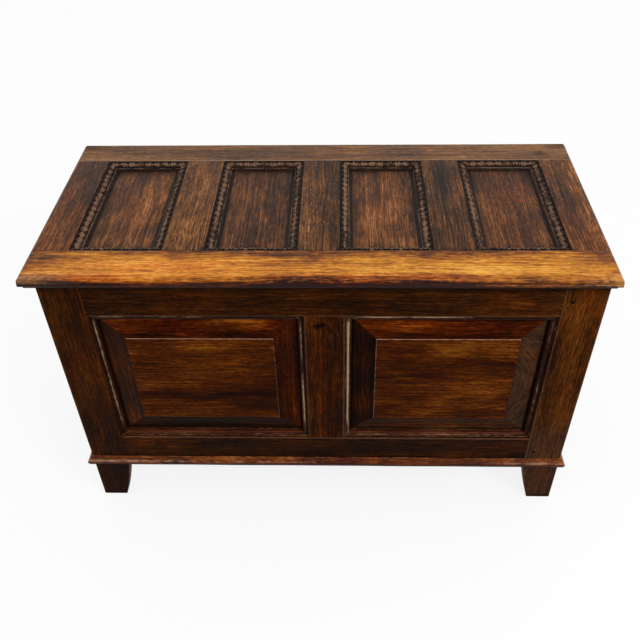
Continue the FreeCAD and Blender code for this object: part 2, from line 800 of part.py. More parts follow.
def make_lid_frame(seats):
    """The lid's rails, end stiles and muntins, grooved for the panels and cut for the hinges."""
    slab = lid_blank()
    full_z = ("lid_underside", "overall_height")
    groove_y = eased(("lid_front_joint", "lid_back_joint"), "lid_groove_depth")
    groove_z = eased(("lid_seat - lid_panel_thickness", "lid_seat"), "panel_clearance")
    spaces = []
    for index in range(LID_PANELS):
        start = lid_opening_start(index)
        x = eased((start, f"{start} + lid_opening"), "lid_groove_depth")
        spaces.append(box(f"lid_panel_{index + 1}_space", x, groove_y, groove_z))
    y = ("lid_front_joint", "lid_back_joint")
    stile_edge = "-lid_width / 2 + lid_stile_width"
    stile_x = ("-lid_width / 2", stile_edge)
    stile_tenon = ("-lid_width / 2 + lid_tenon_end_set", f"{stile_edge} - lid_tenon_shoulder")
    uprights = [("lid_left_stile", stile_x, stile_tenon, spaces[:1])]
    for index, side in enumerate(("left", "centre", "right")):
        start = f"{lid_opening_start(index)} + lid_opening"
        x = (start, f"{start} + lid_muntin_width")
        tenon = (f"{start} + lid_tenon_shoulder", f"{start} + lid_muntin_width - lid_tenon_shoulder")
        uprights.append((f"lid_{side}_muntin", x, tenon, spaces[index:index + 2]))
    sockets = []
    for name, x, tenon_x, grooves in uprights:
        bar = box(f"{name}_bar", x, y, full_z)
        blank = fuse(f"{name}_blank", bar, lid_tenon(f"{name}_tenon", tenon_x, "0"))
        sockets.append(lid_tenon(f"{name}_socket", tenon_x, "mortise_clearance"))
        if name == "lid_left_stile":
            grooved = cut(f"{name}_grooved", blank, *grooves)
            stile = piece(common(name, grooved, slab))
            piece(mirrored("lid_right_stile", stile))
            sockets.append(mirrored("lid_right_stile_socket", sockets[0]))
        else:
            piece(cut(name, blank, *grooves))
    rails = (
        ("lid_front_rail", ("-lid_depth / 2", "lid_front_joint"), []),
        ("lid_back_rail", ("lid_back_joint", "lid_depth / 2"), [seats]),
    )
    for name, rail_y, cuts in rails:
        bar = box(f"{name}_bar", ("-lid_width / 2", "lid_width / 2"), rail_y, full_z)
        joined = cut(f"{name}_joined", bar, *sockets, *spaces, *cuts)
        piece(common(name, joined, slab))


def make_lid_panels():
    """The lid's flat sunk panels, each in a frame of mitred moulding."""
    strips = mitred_strips("lid_strip", LID_STRIP_PROFILE, "lid_strip_width", "lid_strip_height",
                           "lid_opening", "lid_opening_depth")
    for index in range(LID_PANELS):
        start = lid_opening_start(index)
        x = eased((start, f"{start} + lid_opening"), "lid_panel_lap")
        y = eased(("lid_front_joint", "lid_back_joint"), "lid_panel_lap")
        piece(box(f"lid_panel_{index + 1}", x, y, ("lid_seat - lid_panel_thickness", "lid_seat")))
        moulding = group(f"lid_panel_moulding_{index + 1}", strips)
        piece(place(moulding, (start, "lid_front_joint", "lid_seat")))


def make_chest():
    """The whole chest, carcase first and lid last."""
    joints = {}
    for level in RAIL_LEVELS:
        for side in ("front", "back"):
            joints[side, level] = frame_joint(side, level)
        joints["side", level] = side_joint(level)
    spaces = carcase_spaces()
    seats = make_hinges()
    rail_seats = {("back", "top"): seats["carcase"]}
    for side in ("front", "back"):
        make_stiles(side, joints, spaces)
        make_rails(side, joints, spaces[side], rail_seats)
        make_muntin(side, spaces[side])
    make_side_rails(joints, spaces["side"])
    make_fielded_panels()
    make_back_panels()
    make_base_mouldings()
    make_floor()
    make_pegs(joints)
    for name, item in pieces.items():
        pieces[name] = set_over(f"{name}_in_place", [item])
    make_lid_frame(set_over("hinge_lid_seats", seats["lid"]))
    make_lid_panels()


def write_pieces():
    """Check every object, then write each sub-part to its own file."""
    failed = [item.Name for item in doc.Objects if {"Invalid", "Error"} & set(item.State)]
    failed += [name for name, item in pieces.items() if item.Shape.isNull() or not item.Shape.isValid()]
    if failed:
        raise RuntimeError(f"not built: {', '.join(failed)}")
    os.makedirs("parts", exist_ok=True)
    for name, item in pieces.items():
        item.Shape.exportStep(f"parts/{name}.step")
    print(f"{len(pieces)} sub-parts written")


fill_sheet()
make_chest()
doc.recompute()
write_pieces()
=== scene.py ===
"""Looks of a joined oak coffer chest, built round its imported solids.

Sizes are millimetres in the part's own frame: +X to the right as seen from the
front, +Y from front to back, +Z up. Meshes turn them into metres.
"""
import logging
import math
from dataclasses import dataclass, field, replace
from enum import Enum, IntEnum
from typing import Callable, Sequence

import bpy
import numpy as np
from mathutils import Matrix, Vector


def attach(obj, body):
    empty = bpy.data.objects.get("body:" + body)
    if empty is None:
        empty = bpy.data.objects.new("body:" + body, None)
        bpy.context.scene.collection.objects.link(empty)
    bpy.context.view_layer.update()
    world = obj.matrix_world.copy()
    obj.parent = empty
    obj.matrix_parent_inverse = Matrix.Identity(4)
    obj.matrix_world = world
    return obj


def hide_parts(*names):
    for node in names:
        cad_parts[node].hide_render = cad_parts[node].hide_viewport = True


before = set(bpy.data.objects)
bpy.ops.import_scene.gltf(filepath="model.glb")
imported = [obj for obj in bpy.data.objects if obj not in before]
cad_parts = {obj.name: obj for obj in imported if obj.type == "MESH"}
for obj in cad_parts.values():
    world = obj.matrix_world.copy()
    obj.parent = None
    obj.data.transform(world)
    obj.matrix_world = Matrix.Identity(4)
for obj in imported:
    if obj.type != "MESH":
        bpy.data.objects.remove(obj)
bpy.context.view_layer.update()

LOG = logging.getLogger("coffer")
MM = 0.001
# The step of a section's fine outline, and the most it turns between two kept points.
FINE_STEP = 0.2
SHARPEST_TURN = math.radians(13)
# Points closer than this are one point.
SAME_PLACE = 0.002
# What is added to a board's seed to pick its timber, and how far apart boards lie in it.
TIMBER_SEED = 1000
TIMBER_REACH = 900.0
# Lengths that set the two waves of unevenness along a mitred strip.
STRIP_WAVES = (37.0, 101.0)

Array = np.ndarray
Colour = tuple[float, float, float, float]
Point = tuple[float, float, float]
Four = tuple[float, float, float, float]
Rows = tuple[tuple[float, ...], ...]
Shape = Callable[[Array, Array], Array]
Relief = Callable[[Array, Array, Array], Array]
Socket = bpy.types.NodeSocket
WHITE: Colour = (1.0, 1.0, 1.0, 1.0)


class Run(Enum):
    """The way a board's grain runs: axes of its section, then of its length."""

    WIDTH = (1, 2, 0)
    DEPTH = (2, 0, 1)
    HEIGHT = (0, 1, 2)


class Mark(IntEnum):
    """What a finish reads at each point besides the grain.

    Rubbed and highlit, grime and shade, and nicks run from 0 to 1: the first two also
    paint highlights and shade. Tone shifts the wood's colours from dark to light, painted
    light and shade among them. Red and dry and sheen mix in a redder or a greyer colour,
    the grey partly a painted sheen.
    """

    RUBBED = 0
    GRIME = 1
    NICKS = 2
    TONE = 3
    RED = 4
    DRY = 5


class Body(Enum):
    """The two bodies that pieces ride on, each with its middle's place across."""

    CARCASE = ("carcase", 6.0)
    LID = ("lid", 0.0)


class Face(Enum):
    """The two long faces of the box, each with the number that picks its timber."""

    FRONT = 0
    BACK = 1


class Side(IntEnum):
    """The sides of a rectangle, as numbers that pick from a row of four."""

    LEFT = 0
    RIGHT = 1
    BOTTOM = 2
    TOP = 3


class Noise(Enum):
    """Noises of old oak: scale along, across and through the grain, detail and roughness."""

    STREAK = ((2.2, 240, 240), 4, 0.65)
    BAND = ((1.1, 26, 26), 2, 0.5)
    FIBRE = ((9, 640, 640), 3, 0.65)
    PATCH = ((6, 11, 11), 3, 0.55)
    SPECK = ((70, 170, 170), 3, 0.6)
    PORE = ((42, 520, 520), 2, 0.5)
    CHIP = ((120, 420, 420), 2, 0.7)
    DRIFT = ((3, 8, 8), 2, 0.5)


def ease(value: Array, low: float, high: float) -> Array:
    """A smooth step: 0 at low, 1 at high, 3t^2 - 2t^3 between them."""
    t = np.clip((np.asarray(value, float) - low) / (high - low), 0, 1)
    return t * t * (3 - 2 * t)


def bell(value: Array, middle: Array | float, reach: Array | float) -> Array:
    """A bell curve: e^-((value - middle) / reach)^2."""
    return np.exp(-((value - middle) / reach)**2)


def waver(points: Array, seed: int, longest: float, waves: int = 8) -> Array:
    """Slow unevenness of handwork: a mean of sine waves in seeded directions.

    Args:
        points: places, (n, 3).
        seed: picks the waves.
        longest: the longest wave.
        waves: how many.

    Returns:
        Numbers of about -1 to 1, (n,).
    """
    chance = np.random.default_rng(seed)
    ways = chance.normal(size=(waves, 3))
    ways /= np.linalg.norm(ways, axis=1, keepdims=True)
    lengths = longest * chance.uniform(0.12, 1.0, waves)
    phases = chance.uniform(0, 2 * np.pi, waves)
    swing = 1.6
    return np.sin(points @ (ways / lengths[:, None]).T * 2 * np.pi + phases).mean(axis=1) * swing


def timber(seed: int, count: int = 1) -> Array:
    """Where boards of a seed lie in the timber, (count, 3)."""
    return np.random.default_rng(seed).uniform(-TIMBER_REACH, TIMBER_REACH, (count, 3))


def in_scene(name: str, data: bpy.types.ID) -> bpy.types.Object:
    """Put a mesh, camera or lamp into the scene.

    Args:
        name: the object's name.
        data: what it holds.

    Returns:
        The object.
    """
    thing = bpy.data.objects.new(name, data)
    bpy.context.scene.collection.objects.link(thing)
    return thing


@dataclass
class Surface:
    """A skin with what its finish reads at each point.

    The grain holds the place in the board's own timber: along, across, through.
    The marks hold a column for each kind of mark.
    """

    points: Array
    faces: list[Array]
    grain: Array
    marks: Array

    @staticmethod
    def plain(points: Array, faces: list[Array], grain: Array, rubbed: Array | float = 0.0,
              grime: Array | float = 0.0) -> "Surface":
        """A skin marked by its section alone."""
        skin = Surface(points, faces, grain, np.zeros((len(points), len(Mark))))
        return skin.mark(rubbed=rubbed, grime=grime)

    @staticmethod
    def joined(parts: Sequence["Surface"]) -> "Surface":
        """Several skins as one.

        Args:
            parts: the skins.

        Returns:
            One skin with every face, points at one place made one.
        """
        starts = np.cumsum([0] + [len(part.points) for part in parts])
        points, grain, marks = (np.concatenate([getattr(part, name) for part in parts])
                                for name in ("points", "grain", "marks"))
        keys = np.round(points / SAME_PLACE).astype(np.int64)
        kept, old_to_new = np.unique(keys, axis=0, return_index=True, return_inverse=True)[1:]
        old_to_new = old_to_new.reshape(-1)
        faces = [old_to_new[face + start] for part, start in zip(parts, starts) for face in part.faces]
        return Surface(points[kept], faces, grain[kept], marks[kept])

    def mirrored(self) -> "Surface":
        """The twin across the chest's middle, cut from other timber."""
        faces, grain = [face[:, ::-1] for face in self.faces], self.grain + (731.0, 57.0, 23.0)
        return Surface(self.points * (-1.0, 1.0, 1.0), faces, grain, self.marks.copy())

    def mark(self, **values: Array | float) -> "Surface":
        """Add marks: tone adds up, and any other kind is raised where the new one is higher.

        Args:
            values: the new marks by kind.

        Returns:
            The same skin.
        """
        for name, value in values.items():
            column = self.marks[:, Mark[name.upper()]]
            column[:] = column + value if name == "tone" else np.maximum(column, value)
        return self

    def spot(self, at: Point, reach: Point) -> Array:
        """A bell-shaped spot: e^-(sum of (distance / reach)^2 over the three axes)."""
        return np.exp(-(((self.points - np.array(at)) / np.array(reach))**2).sum(axis=1))

    def toned(self, *tone_spots: tuple[Point, Point, float]) -> "Surface":
        """Lighten or darken the skin in spots, each given by its place, reach and tone."""
        return self.mark(tone=sum(tone * self.spot(at, reach) for at, reach, tone in tone_spots))

    def mottled(self, seed: int, size: float, tone: float, red: float = 0.0) -> "Surface":
        """Lighten and redden the skin in slow patches, the longest of that size."""
        drift = waver(self.points, seed, size)
        return self.mark(tone=tone * drift, red=red * ease(drift, -0.1, 0.6))

    def make(self, node: str, oak: "Oak") -> None:
        """Make the object that stands for one solid.

        Args:
            node: the solid it replaces.
            oak: its finish, which also says what it rides on.
        """
        mesh = bpy.data.meshes.new(f"{node}_oak")
        counts = np.concatenate([np.full(len(face), face.shape[1]) for face in self.faces])
        corners = np.concatenate([face.ravel() for face in self.faces]).astype(np.int32)
        owner, middle = oak.body.value
        mesh.vertices.add(len(self.points))
        mesh.vertices.foreach_set("co", ((self.points + (middle, 0, 0)) * MM).ravel())
        mesh.loops.add(len(corners))
        mesh.loops.foreach_set("vertex_index", corners)
        mesh.polygons.add(len(counts))
        mesh.polygons.foreach_set("loop_start", np.concatenate([[0], np.cumsum(counts)[:-1]]))
        mesh.polygons.foreach_set("use_smooth", np.ones(len(counts), bool))
        # The wear vector holds rubbing with painted highlights, grime with painted shade, and nicks; the
        # other vector holds tone with painted light and shade, red, and grey with painted sheen.
        wear, stain_and_light = self.marks[:, :3], self.marks[:, 3:]
        for name, values in (("grain", self.grain * MM), ("wear", wear), ("stain_and_light", stain_and_light)):
            mesh.attributes.new(name, "FLOAT_VECTOR", "POINT").data.foreach_set("vector", values.ravel())
        mesh.update(calc_edges=True)
        mesh.validate()
        mesh.materials.append(oak.material())
        thing = in_scene(mesh.name, mesh)
        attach(thing, owner)
        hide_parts(node)
        LOG.info("%s: %d points", thing.name, len(self.points))


def grid_faces(rows: int, columns: int, wrap_rows: bool = False, wrap_columns: bool = False) -> Array:
    """Quads of a grid of points kept row by row.

    Args:
        rows: how many rows.
        columns: how many points in a row.
        wrap_rows: whether the last row joins the first.
        wrap_columns: whether each row is a loop.

    Returns:
        Point numbers, (n, 4): along the row first, then to the next row.
    """
    i = np.arange(rows if wrap_rows else rows - 1)[:, None]
    j = np.arange(columns if wrap_columns else columns - 1)[None, :]
    near = i * columns
    far = (i + 1) % rows * columns
    step = (j + 1) % columns
    return np.stack([near + j, near + step, far + step, far + j], axis=-1).reshape(-1, 4)


def tube_faces(rows: int, columns: int) -> list[Array]:
    """Quads round a tube of points kept ring by ring, and the faces that close its two ends."""
    ring = np.arange(columns)[None, :]
    return [grid_faces(rows, columns, wrap_columns=True), ring[:, ::-1], ring + (rows - 1) * columns]


def bent_line(corners: Sequence[tuple[float, ...]], arc_points: int = 14) -> Array:
    """A line through corners, with arcs where a corner gives a radius.

    An arc runs from its corner to the next one: centre = middle of the chord less
    bulge x outward x sqrt(radius^2 - half chord^2), the outside being on the right.

    Args:
        corners: (across, up), or (across, up, radius, bulge) with bulge 1 or -1.
        arc_points: how many points an arc has, with both its corners.

    Returns:
        Places as complex numbers.
    """
    line = []
    places = [complex(*corner[:2]) for corner in corners]
    for corner, start, end in zip(corners, places, places[1:] + places[:1]):
        line.append(np.array([start]))
        if len(corner) > 2:
            radius, bulge = corner[2:]
            chord = end - start
            outward = -1j * chord / abs(chord)
            centre = (start + end) / 2 - bulge * outward * math.sqrt(radius**2 - abs(chord)**2 / 4)
            sweep = np.angle((end - centre) / (start - centre))
            turns = sweep * np.linspace(0, 1, arc_points)[1:-1]
            line.append(centre + (start - centre) * np.exp(1j * turns))
    return np.concatenate(line)


@dataclass(frozen=True)
class Profile:
    """A worn section: places, outward normals, where it is rubbed and highlit, and where it holds grime and
    shade.
    """

    places: Array
    normals: Array
    rubbed: Array
    grime: Array

    def spread(self, shape: tuple[int, ...]) -> tuple[Array, ...]:
        """Rubbing with its highlights, and grime with its shade, at every point of a skin of that shape."""
        return tuple(np.broadcast_to(part, shape).ravel() for part in (self.rubbed, self.grime))


def blurred(values: Array, width: float) -> Array:
    """Values at even steps of a loop, averaged with a bell curve of that width."""
    waves = np.fft.fftfreq(len(values), d=FINE_STEP)
    return np.fft.ifft(np.fft.fft(values) * np.exp(-2 * (np.pi * waves * width)**2))


def worn_profile(line: Array, wear: float, coarse: float | Callable[[Array], Array] = 5.0,
                 closed: bool = True, spread: float = 1.6) -> Profile:
    """Wear a sharp section down: its outline averaged with a bell curve.

    Points are then kept closer together where the outline bends. Bends outwards
    are rubbed and take painted highlights, and bends inwards hold grime and painted
    shade. An open section is first carried on past both ends, each turned half round,
    so that its ends stay where they are.

    Args:
        line: corners as complex numbers, with the timber on the left.
        wear: width of the bell curve, about the radius of a worn corner.
        coarse: the widest step between kept points, or a function that gives it.
        closed: whether the section closes on itself.
        spread: how far rubbing and grime reach beyond a bend.

    Returns:
        The worn section.
    """
    loop = np.append(line, line[0]) if closed else line
    reach = np.concatenate([[0], np.cumsum(np.abs(np.diff(loop)))])
    even = np.arange(0, reach[-1], FINE_STEP)
    fine = np.interp(even, reach, loop.real) + 1j * np.interp(even, reach, loop.imag)
    pad = 0 if closed else min(len(fine) - 1, int(12 * wear / FINE_STEP) + 20)
    if pad:
        before, after = fine[pad:0:-1], fine[-2:-pad - 2:-1]
        fine = np.concatenate([2 * fine[0] - before, fine, 2 * fine[-1] - after])
    smooth = blurred(fine, wear)
    along = np.roll(smooth, -1) - np.roll(smooth, 1)
    along /= np.abs(along)
    bend = np.angle(np.roll(along, -1) / np.roll(along, 1)) / (2 * FINE_STEP)
    if pad:
        bend[:4] = bend[-4:] = 0
    turned = 1.6 * math.hypot(wear, spread) * blurred(bend, spread).real
    inner = slice(pad, len(smooth) - pad)
    smooth, along, bend, turned = smooth[inner], along[inner], bend[inner], turned[inner]
    widest = coarse(smooth) if callable(coarse) else coarse
    cost = np.cumsum((1 / widest + np.abs(bend) / SHARPEST_TURN) * FINE_STEP)
    kept = np.searchsorted(cost, np.linspace(cost[0], cost[-1], int(cost[-1]) + 2, endpoint=not closed))
    kept = np.unique(np.clip(kept, 0, len(smooth) - 1))
    rubbed, grime = np.clip(turned[kept], 0, 1), np.clip(-turned[kept], 0, 1)
    return Profile(smooth[kept], -1j * along[kept], rubbed, grime)


def end_stations(low: float, high: float, wear: float, step: float) -> tuple[Array, Array]:
    """Stations along a board, with its ends rounded over as quarter circles.

    Args:
        low: where the board starts.
        high: where it ends.
        wear: radius of the worn end.
        step: about the distance between stations.

    Returns:
        Places along the board, and how far the section shrinks at each.
    """
    angle = np.linspace(0.06, np.pi / 2, 5)
    rise = wear * (1 - np.cos(angle))
    shrink = wear * (1 - np.sin(angle))
    middle = np.linspace(low + wear, high - wear, max(2, round((high - low) / step)) + 1)[1:-1]
    places = np.concatenate([low + rise, middle, (high - rise)[::-1]])
    return places, np.concatenate([shrink, np.zeros(len(middle)), shrink[::-1]])


def swept(profile: Profile, stations: Array, shrink: Array, run: Run, seed: int,
          shape: Shape | None = None, uneven: float = 0.12) -> Surface:
    """A section carried along a straight board and closed at both ends.

    Each point is section place - shrink x normal, then the board's own change of
    shape, then a slow unevenness along the normal.

    Args:
        profile: the closed section.
        stations: places along the board.
        shrink: how far the section draws in at each.
        run: the way the board lies.
        seed: picks its timber and unevenness.
        shape: changes section places, given them and the stations.
        uneven: height of the unevenness.

    Returns:
        The closed skin.
    """
    places = profile.places[None, :] - shrink[:, None] * profile.normals[None, :]
    if shape is not None:
        places = shape(places, stations)
    points = np.empty((*places.shape, 3))
    first, second, third = run.value
    points[..., first] = places.real
    points[..., second] = places.imag
    points[..., third] = stations[:, None]
    flat = points.reshape(-1, 3)
    push = uneven * waver(flat, seed, longest=260)
    normals = np.broadcast_to(profile.normals, places.shape).ravel()
    flat[:, first] += push * normals.real
    flat[:, second] += push * normals.imag
    grain = flat[:, [third, first, second]] + timber(seed + TIMBER_SEED)
    ends = np.broadcast_to((shrink > 0.05)[:, None] * 0.6, places.shape).ravel()
    rubbed, grime = profile.spread(places.shape)
    return Surface.plain(flat, tube_faces(*places.shape), grain, np.maximum(rubbed, ends), grime)


def board(low: Point, high: Point, run: Run, seed: int, arris: float, step: float) -> Surface:
    """A plain board between two corners, with worn arrises.

    Args:
        low: its lowest corner.
        high: its highest corner.
        run: the way its grain runs.
        seed: picks its timber.
        arris: radius of the worn arrises.
        step: about the distance between points.

    Returns:
        The closed skin.
    """
    a, b, c = run.value
    section = [(low[a], low[b]), (high[a], low[b]), (high[a], high[b]), (low[a], high[b])]
    profile = worn_profile(bent_line(section), arris, step)
    return swept(profile, *end_stations(low[c], high[c], arris, step), run, seed)


@dataclass(frozen=True)
class Seat:
    """A rectangle that a panel or moulding is seated on: a corner, the ways across and up, and its size."""

    corner: Point
    across: Point
    width: float
    height: float
    up: Point = (0, 0, 1)

    @property
    def ways(self) -> Array:
        """The ways across, up and out of the seat, one to a row."""
        return np.array([self.across, self.up, np.cross(self.across, self.up)], float)

    def placed(self, u: Array, v: Array, rise: Array) -> Array:
        """Places, (n, 3), from distances across, up and out of the seat."""
        return np.array(self.corner) + np.stack([u, v, rise], axis=-1).reshape(-1, 3) @ self.ways

    def measured(self, points: Array) -> tuple[Array, ...]:
        """Read off where places lie on the seat.

        Args:
            points: the places, (n, 3).

        Returns:
            Distances across, up and out of the seat, the distance in from its nearest
            edge, and the number of the side that has that edge.
        """
        u, v, rise = self.ways @ (points - np.array(self.corner)).T
        edges = np.stack([u, self.width - u, v, self.height - v])
        return u, v, rise, edges.min(axis=0), edges.argmin(axis=0)

    def trimmed(self, gap: float) -> "Seat":
        """The same seat less a gap on every side."""
        corner = tuple(np.array(self.corner) + gap * (self.ways[0] + self.ways[1]))
        return replace(self, corner=corner, width=self.width - 2 * gap, height=self.height - 2 * gap)


def mitred_ring(profile: Profile, seat: Seat, seed: int, step: float, closed: bool = True,
                relief: Relief | None = None, uneven: float = 0.1, along_board: bool = True) -> Surface:
    """A section carried round a rectangle, mitred at its corners.

    At a distance w in from the edge a side runs from w to its length - w, so that
    two sides meet on the 45 degree line. Relief moves a point along the section's
    normal, and so does an unevenness made of two sine waves.

    Args:
        profile: the section, as (in from the edge) + i (out of the plane).
        seat: the rectangle.
        seed: picks its timber and unevenness.
        step: about the distance between columns.
        closed: whether the section closes on itself.
        relief: carving, from the place along a side, the distance in and the rise.
        uneven: height of the unevenness.
        along_board: whether each side is a strip of its own with the grain along it,
            or all four are one board with the grain across the rectangle.

    Returns:
        The skin.
    """
    inset, rise = profile.places.real[None, :], profile.places.imag[None, :]
    width, height = seat.width, seat.height
    beside_mitre = 0.3
    offsets = timber(seed + TIMBER_SEED, 5)
    sides = []
    for side, length in enumerate((width, height, width, height)):
        mitre = beside_mitre / length
        inner = np.linspace(0, 1, max(3, round(length / step)))[1:-1]
        s = np.concatenate([[0, mitre], inner, [1 - mitre]])[:, None]
        along = (s - 0.5) * (length - 2 * inset)
        short, long = (along / wave for wave in STRIP_WAVES)
        push = uneven * np.sin(short + side * 2.1 + seed) * np.sin(long + seed * 1.7)
        if relief is not None:
            push = push + relief(along, inset, rise)
        w = inset + push * profile.normals.real
        h = rise + push * profile.normals.imag
        near = w + s * (length - 2 * w)
        far = length - near
        u, v = ((near, w), (width - w, near), (far, height - w), (w, far))[side]
        grain = (along, w, h) if along_board else (u, v, h)
        offset = offsets[side if along_board else -1]
        sides.append((seat.placed(u, v, h), np.stack(grain, axis=-1).reshape(-1, 3) + offset, w))
    points, grain, insets = (np.concatenate(part) for part in zip(*sides))
    faces = grid_faces(*insets.shape, wrap_rows=True, wrap_columns=closed)
    return Surface.plain(points, [faces], grain, *profile.spread(insets.shape))


class Tree:
    """Short words for building the nodes of one material or sky."""

    def __init__(self, owner: bpy.types.Material | bpy.types.World) -> None:
        """Start the nodes of a new material or sky.

        Args:
            owner: what the nodes belong to.
        """
        owner.use_nodes = True
        self.owner = owner
        self.nodes = owner.node_tree.nodes
        self.links = owner.node_tree.links

    def add(self, kind: str, inputs: dict[str | int, object] | None = None,
            **settings: object) -> bpy.types.Node:
        """Add a node.

        Args:
            kind: its type.
            inputs: values or sockets for its inputs.
            settings: its properties.

        Returns:
            The node.
        """
        node = self.nodes.new(kind)
        for name, value in settings.items():
            setattr(node, name, value)
        for name, value in (inputs or {}).items():
            if isinstance(value, Socket):
                self.links.new(value, node.inputs[name])
            else:
                node.inputs[name].default_value = value
        return node

    def math(self, operation: str, a: object, b: object, clamp: bool = False) -> Socket:
        """One sum of two values."""
        return self.add("ShaderNodeMath", {0: a, 1: b}, operation=operation, use_clamp=clamp).outputs[0]

    def plus(self, a: object, b: object, clamp: bool = False) -> Socket:
        """Two values added up."""
        return self.math("ADD", a, b, clamp)

    def minus(self, a: object, b: object) -> Socket:
        """One value less another."""
        return self.math("SUBTRACT", a, b)

    def times(self, a: object, b: object, clamp: bool = False) -> Socket:
        """One value times another."""
        return self.math("MULTIPLY", a, b, clamp)

    def vector(self, operation: str, a: Socket, b: object) -> Socket:
        """One sum of two vectors, axis by axis."""
        return self.add("ShaderNodeVectorMath", {0: a, 1: b}, operation=operation).outputs[0]

    def clouds(self, place: Socket, scale: Point, detail: float, rough: float) -> bpy.types.Node:
        """A node of cloudy noise on a place stretched by a scale for each axis."""
        inputs = {"Vector": self.vector("MULTIPLY", place, scale), "Scale": 1.0, "Detail": detail}
        return self.add("ShaderNodeTexNoise", {**inputs, "Roughness": rough})

    def noise(self, place: Socket, scale: Point, detail: float, rough: float = 0.5) -> Socket:
        """Cloudy noise about 0.5, with most of it from 0.3 to 0.7."""
        return self.clouds(place, scale, detail, rough).outputs["Fac"]

    def step(self, value: Socket, low: float, high: float, start: float = 0.0, end: float = 1.0) -> Socket:
        """A smooth step of a value between two limits."""
        inputs = {"Value": value, "From Min": low, "From Max": high, "To Min": start, "To Max": end}
        return self.add("ShaderNodeMapRange", inputs, interpolation_type="SMOOTHSTEP").outputs[0]

    def mix(self, factor: object, a: object, b: object, blend: str = "MIX") -> Socket:
        """Two colours mixed."""
        inputs = {0: factor, 6: a, 7: b}
        return self.add("ShaderNodeMix", inputs, data_type="RGBA", blend_type=blend).outputs[2]

    def ramp(self, value: Socket, colours: Sequence[Colour]) -> Socket:
        """Colours spread evenly along a value from 0 to 1.

        Args:
            value: the value.
            colours: the colours in order.

        Returns:
            The colour.
        """
        node = self.add("ShaderNodeValToRGB", {"Fac": value})
        stops = node.color_ramp.elements
        while len(stops) < len(colours):
            stops.new(0.5)
        for index, colour in enumerate(colours):
            stops[index].position = index / (len(colours) - 1)
            stops[index].color = colour
        return node.outputs["Color"]

    def shown(self, unseen: bpy.types.Node, seen: bpy.types.Node) -> None:
        """Let the camera, gloss and glass see one shader, and everything else be lit by another.

        Args:
            unseen: the shader that lights things.
            seen: the shader that is seen.
        """
        path = self.add("ShaderNodeLightPath").outputs
        sight = self.plus(path["Is Camera Ray"], path["Is Glossy Ray"])
        sight = self.plus(sight, path["Is Transmission Ray"], clamp=True)
        mixed = self.add("ShaderNodeMixShader", {0: sight, 1: unseen.outputs[0], 2: seen.outputs[0]})
        output = next(node for node in self.nodes if node.type.startswith("OUTPUT"))
        self.links.new(mixed.outputs[0], output.inputs["Surface"])

    def dress(self, colour: Socket, dull: Socket, height: Socket, bump: tuple[float, float],
              levels: dict[str, float]) -> bpy.types.Material:
        """Join a finish to the shader.

        Args:
            colour: its colour.
            dull: its roughness.
            height: the height of its bumps.
            bump: their strength and distance.
            levels: the shader's constants by name.

        Returns:
            The material.
        """
        bumps = self.add("ShaderNodeBump", {"Height": height, "Strength": bump[0], "Distance": bump[1]})
        inputs = self.nodes["Principled BSDF"].inputs
        for name, socket in (("Base Color", colour), ("Roughness", dull), ("Normal", bumps.outputs[0])):
            self.links.new(socket, inputs[name])
        for name, level in levels.items():
            inputs[name].default_value = level
        return self.owner


def tint(code: str) -> Colour:
    """A colour as it looks on screen, turned to linear light.

    Args:
        code: six hexadecimal digits.

    Returns:
        Red, green, blue and a full alpha.
    """
    shown = np.array([int(code[i:i + 2], 16) for i in (0, 2, 4)]) / 255
    linear = np.where(shown <= 0.04045, shown / 12.92, ((shown + 0.055) / 1.055)**2.4)
    return (*linear.tolist(), 1.0)


class Finish:
    """A material that is made once and shared."""

    made: dict[str, bpy.types.Material] = {}
    name: str

    def build(self) -> bpy.types.Material:
        """Make the material."""
        raise NotImplementedError

    def material(self) -> bpy.types.Material:
        """The material, made when first asked for.

        Returns:
            The material.
        """
        if self.name not in Finish.made:
            Finish.made[self.name] = self.build()
        return Finish.made[self.name]


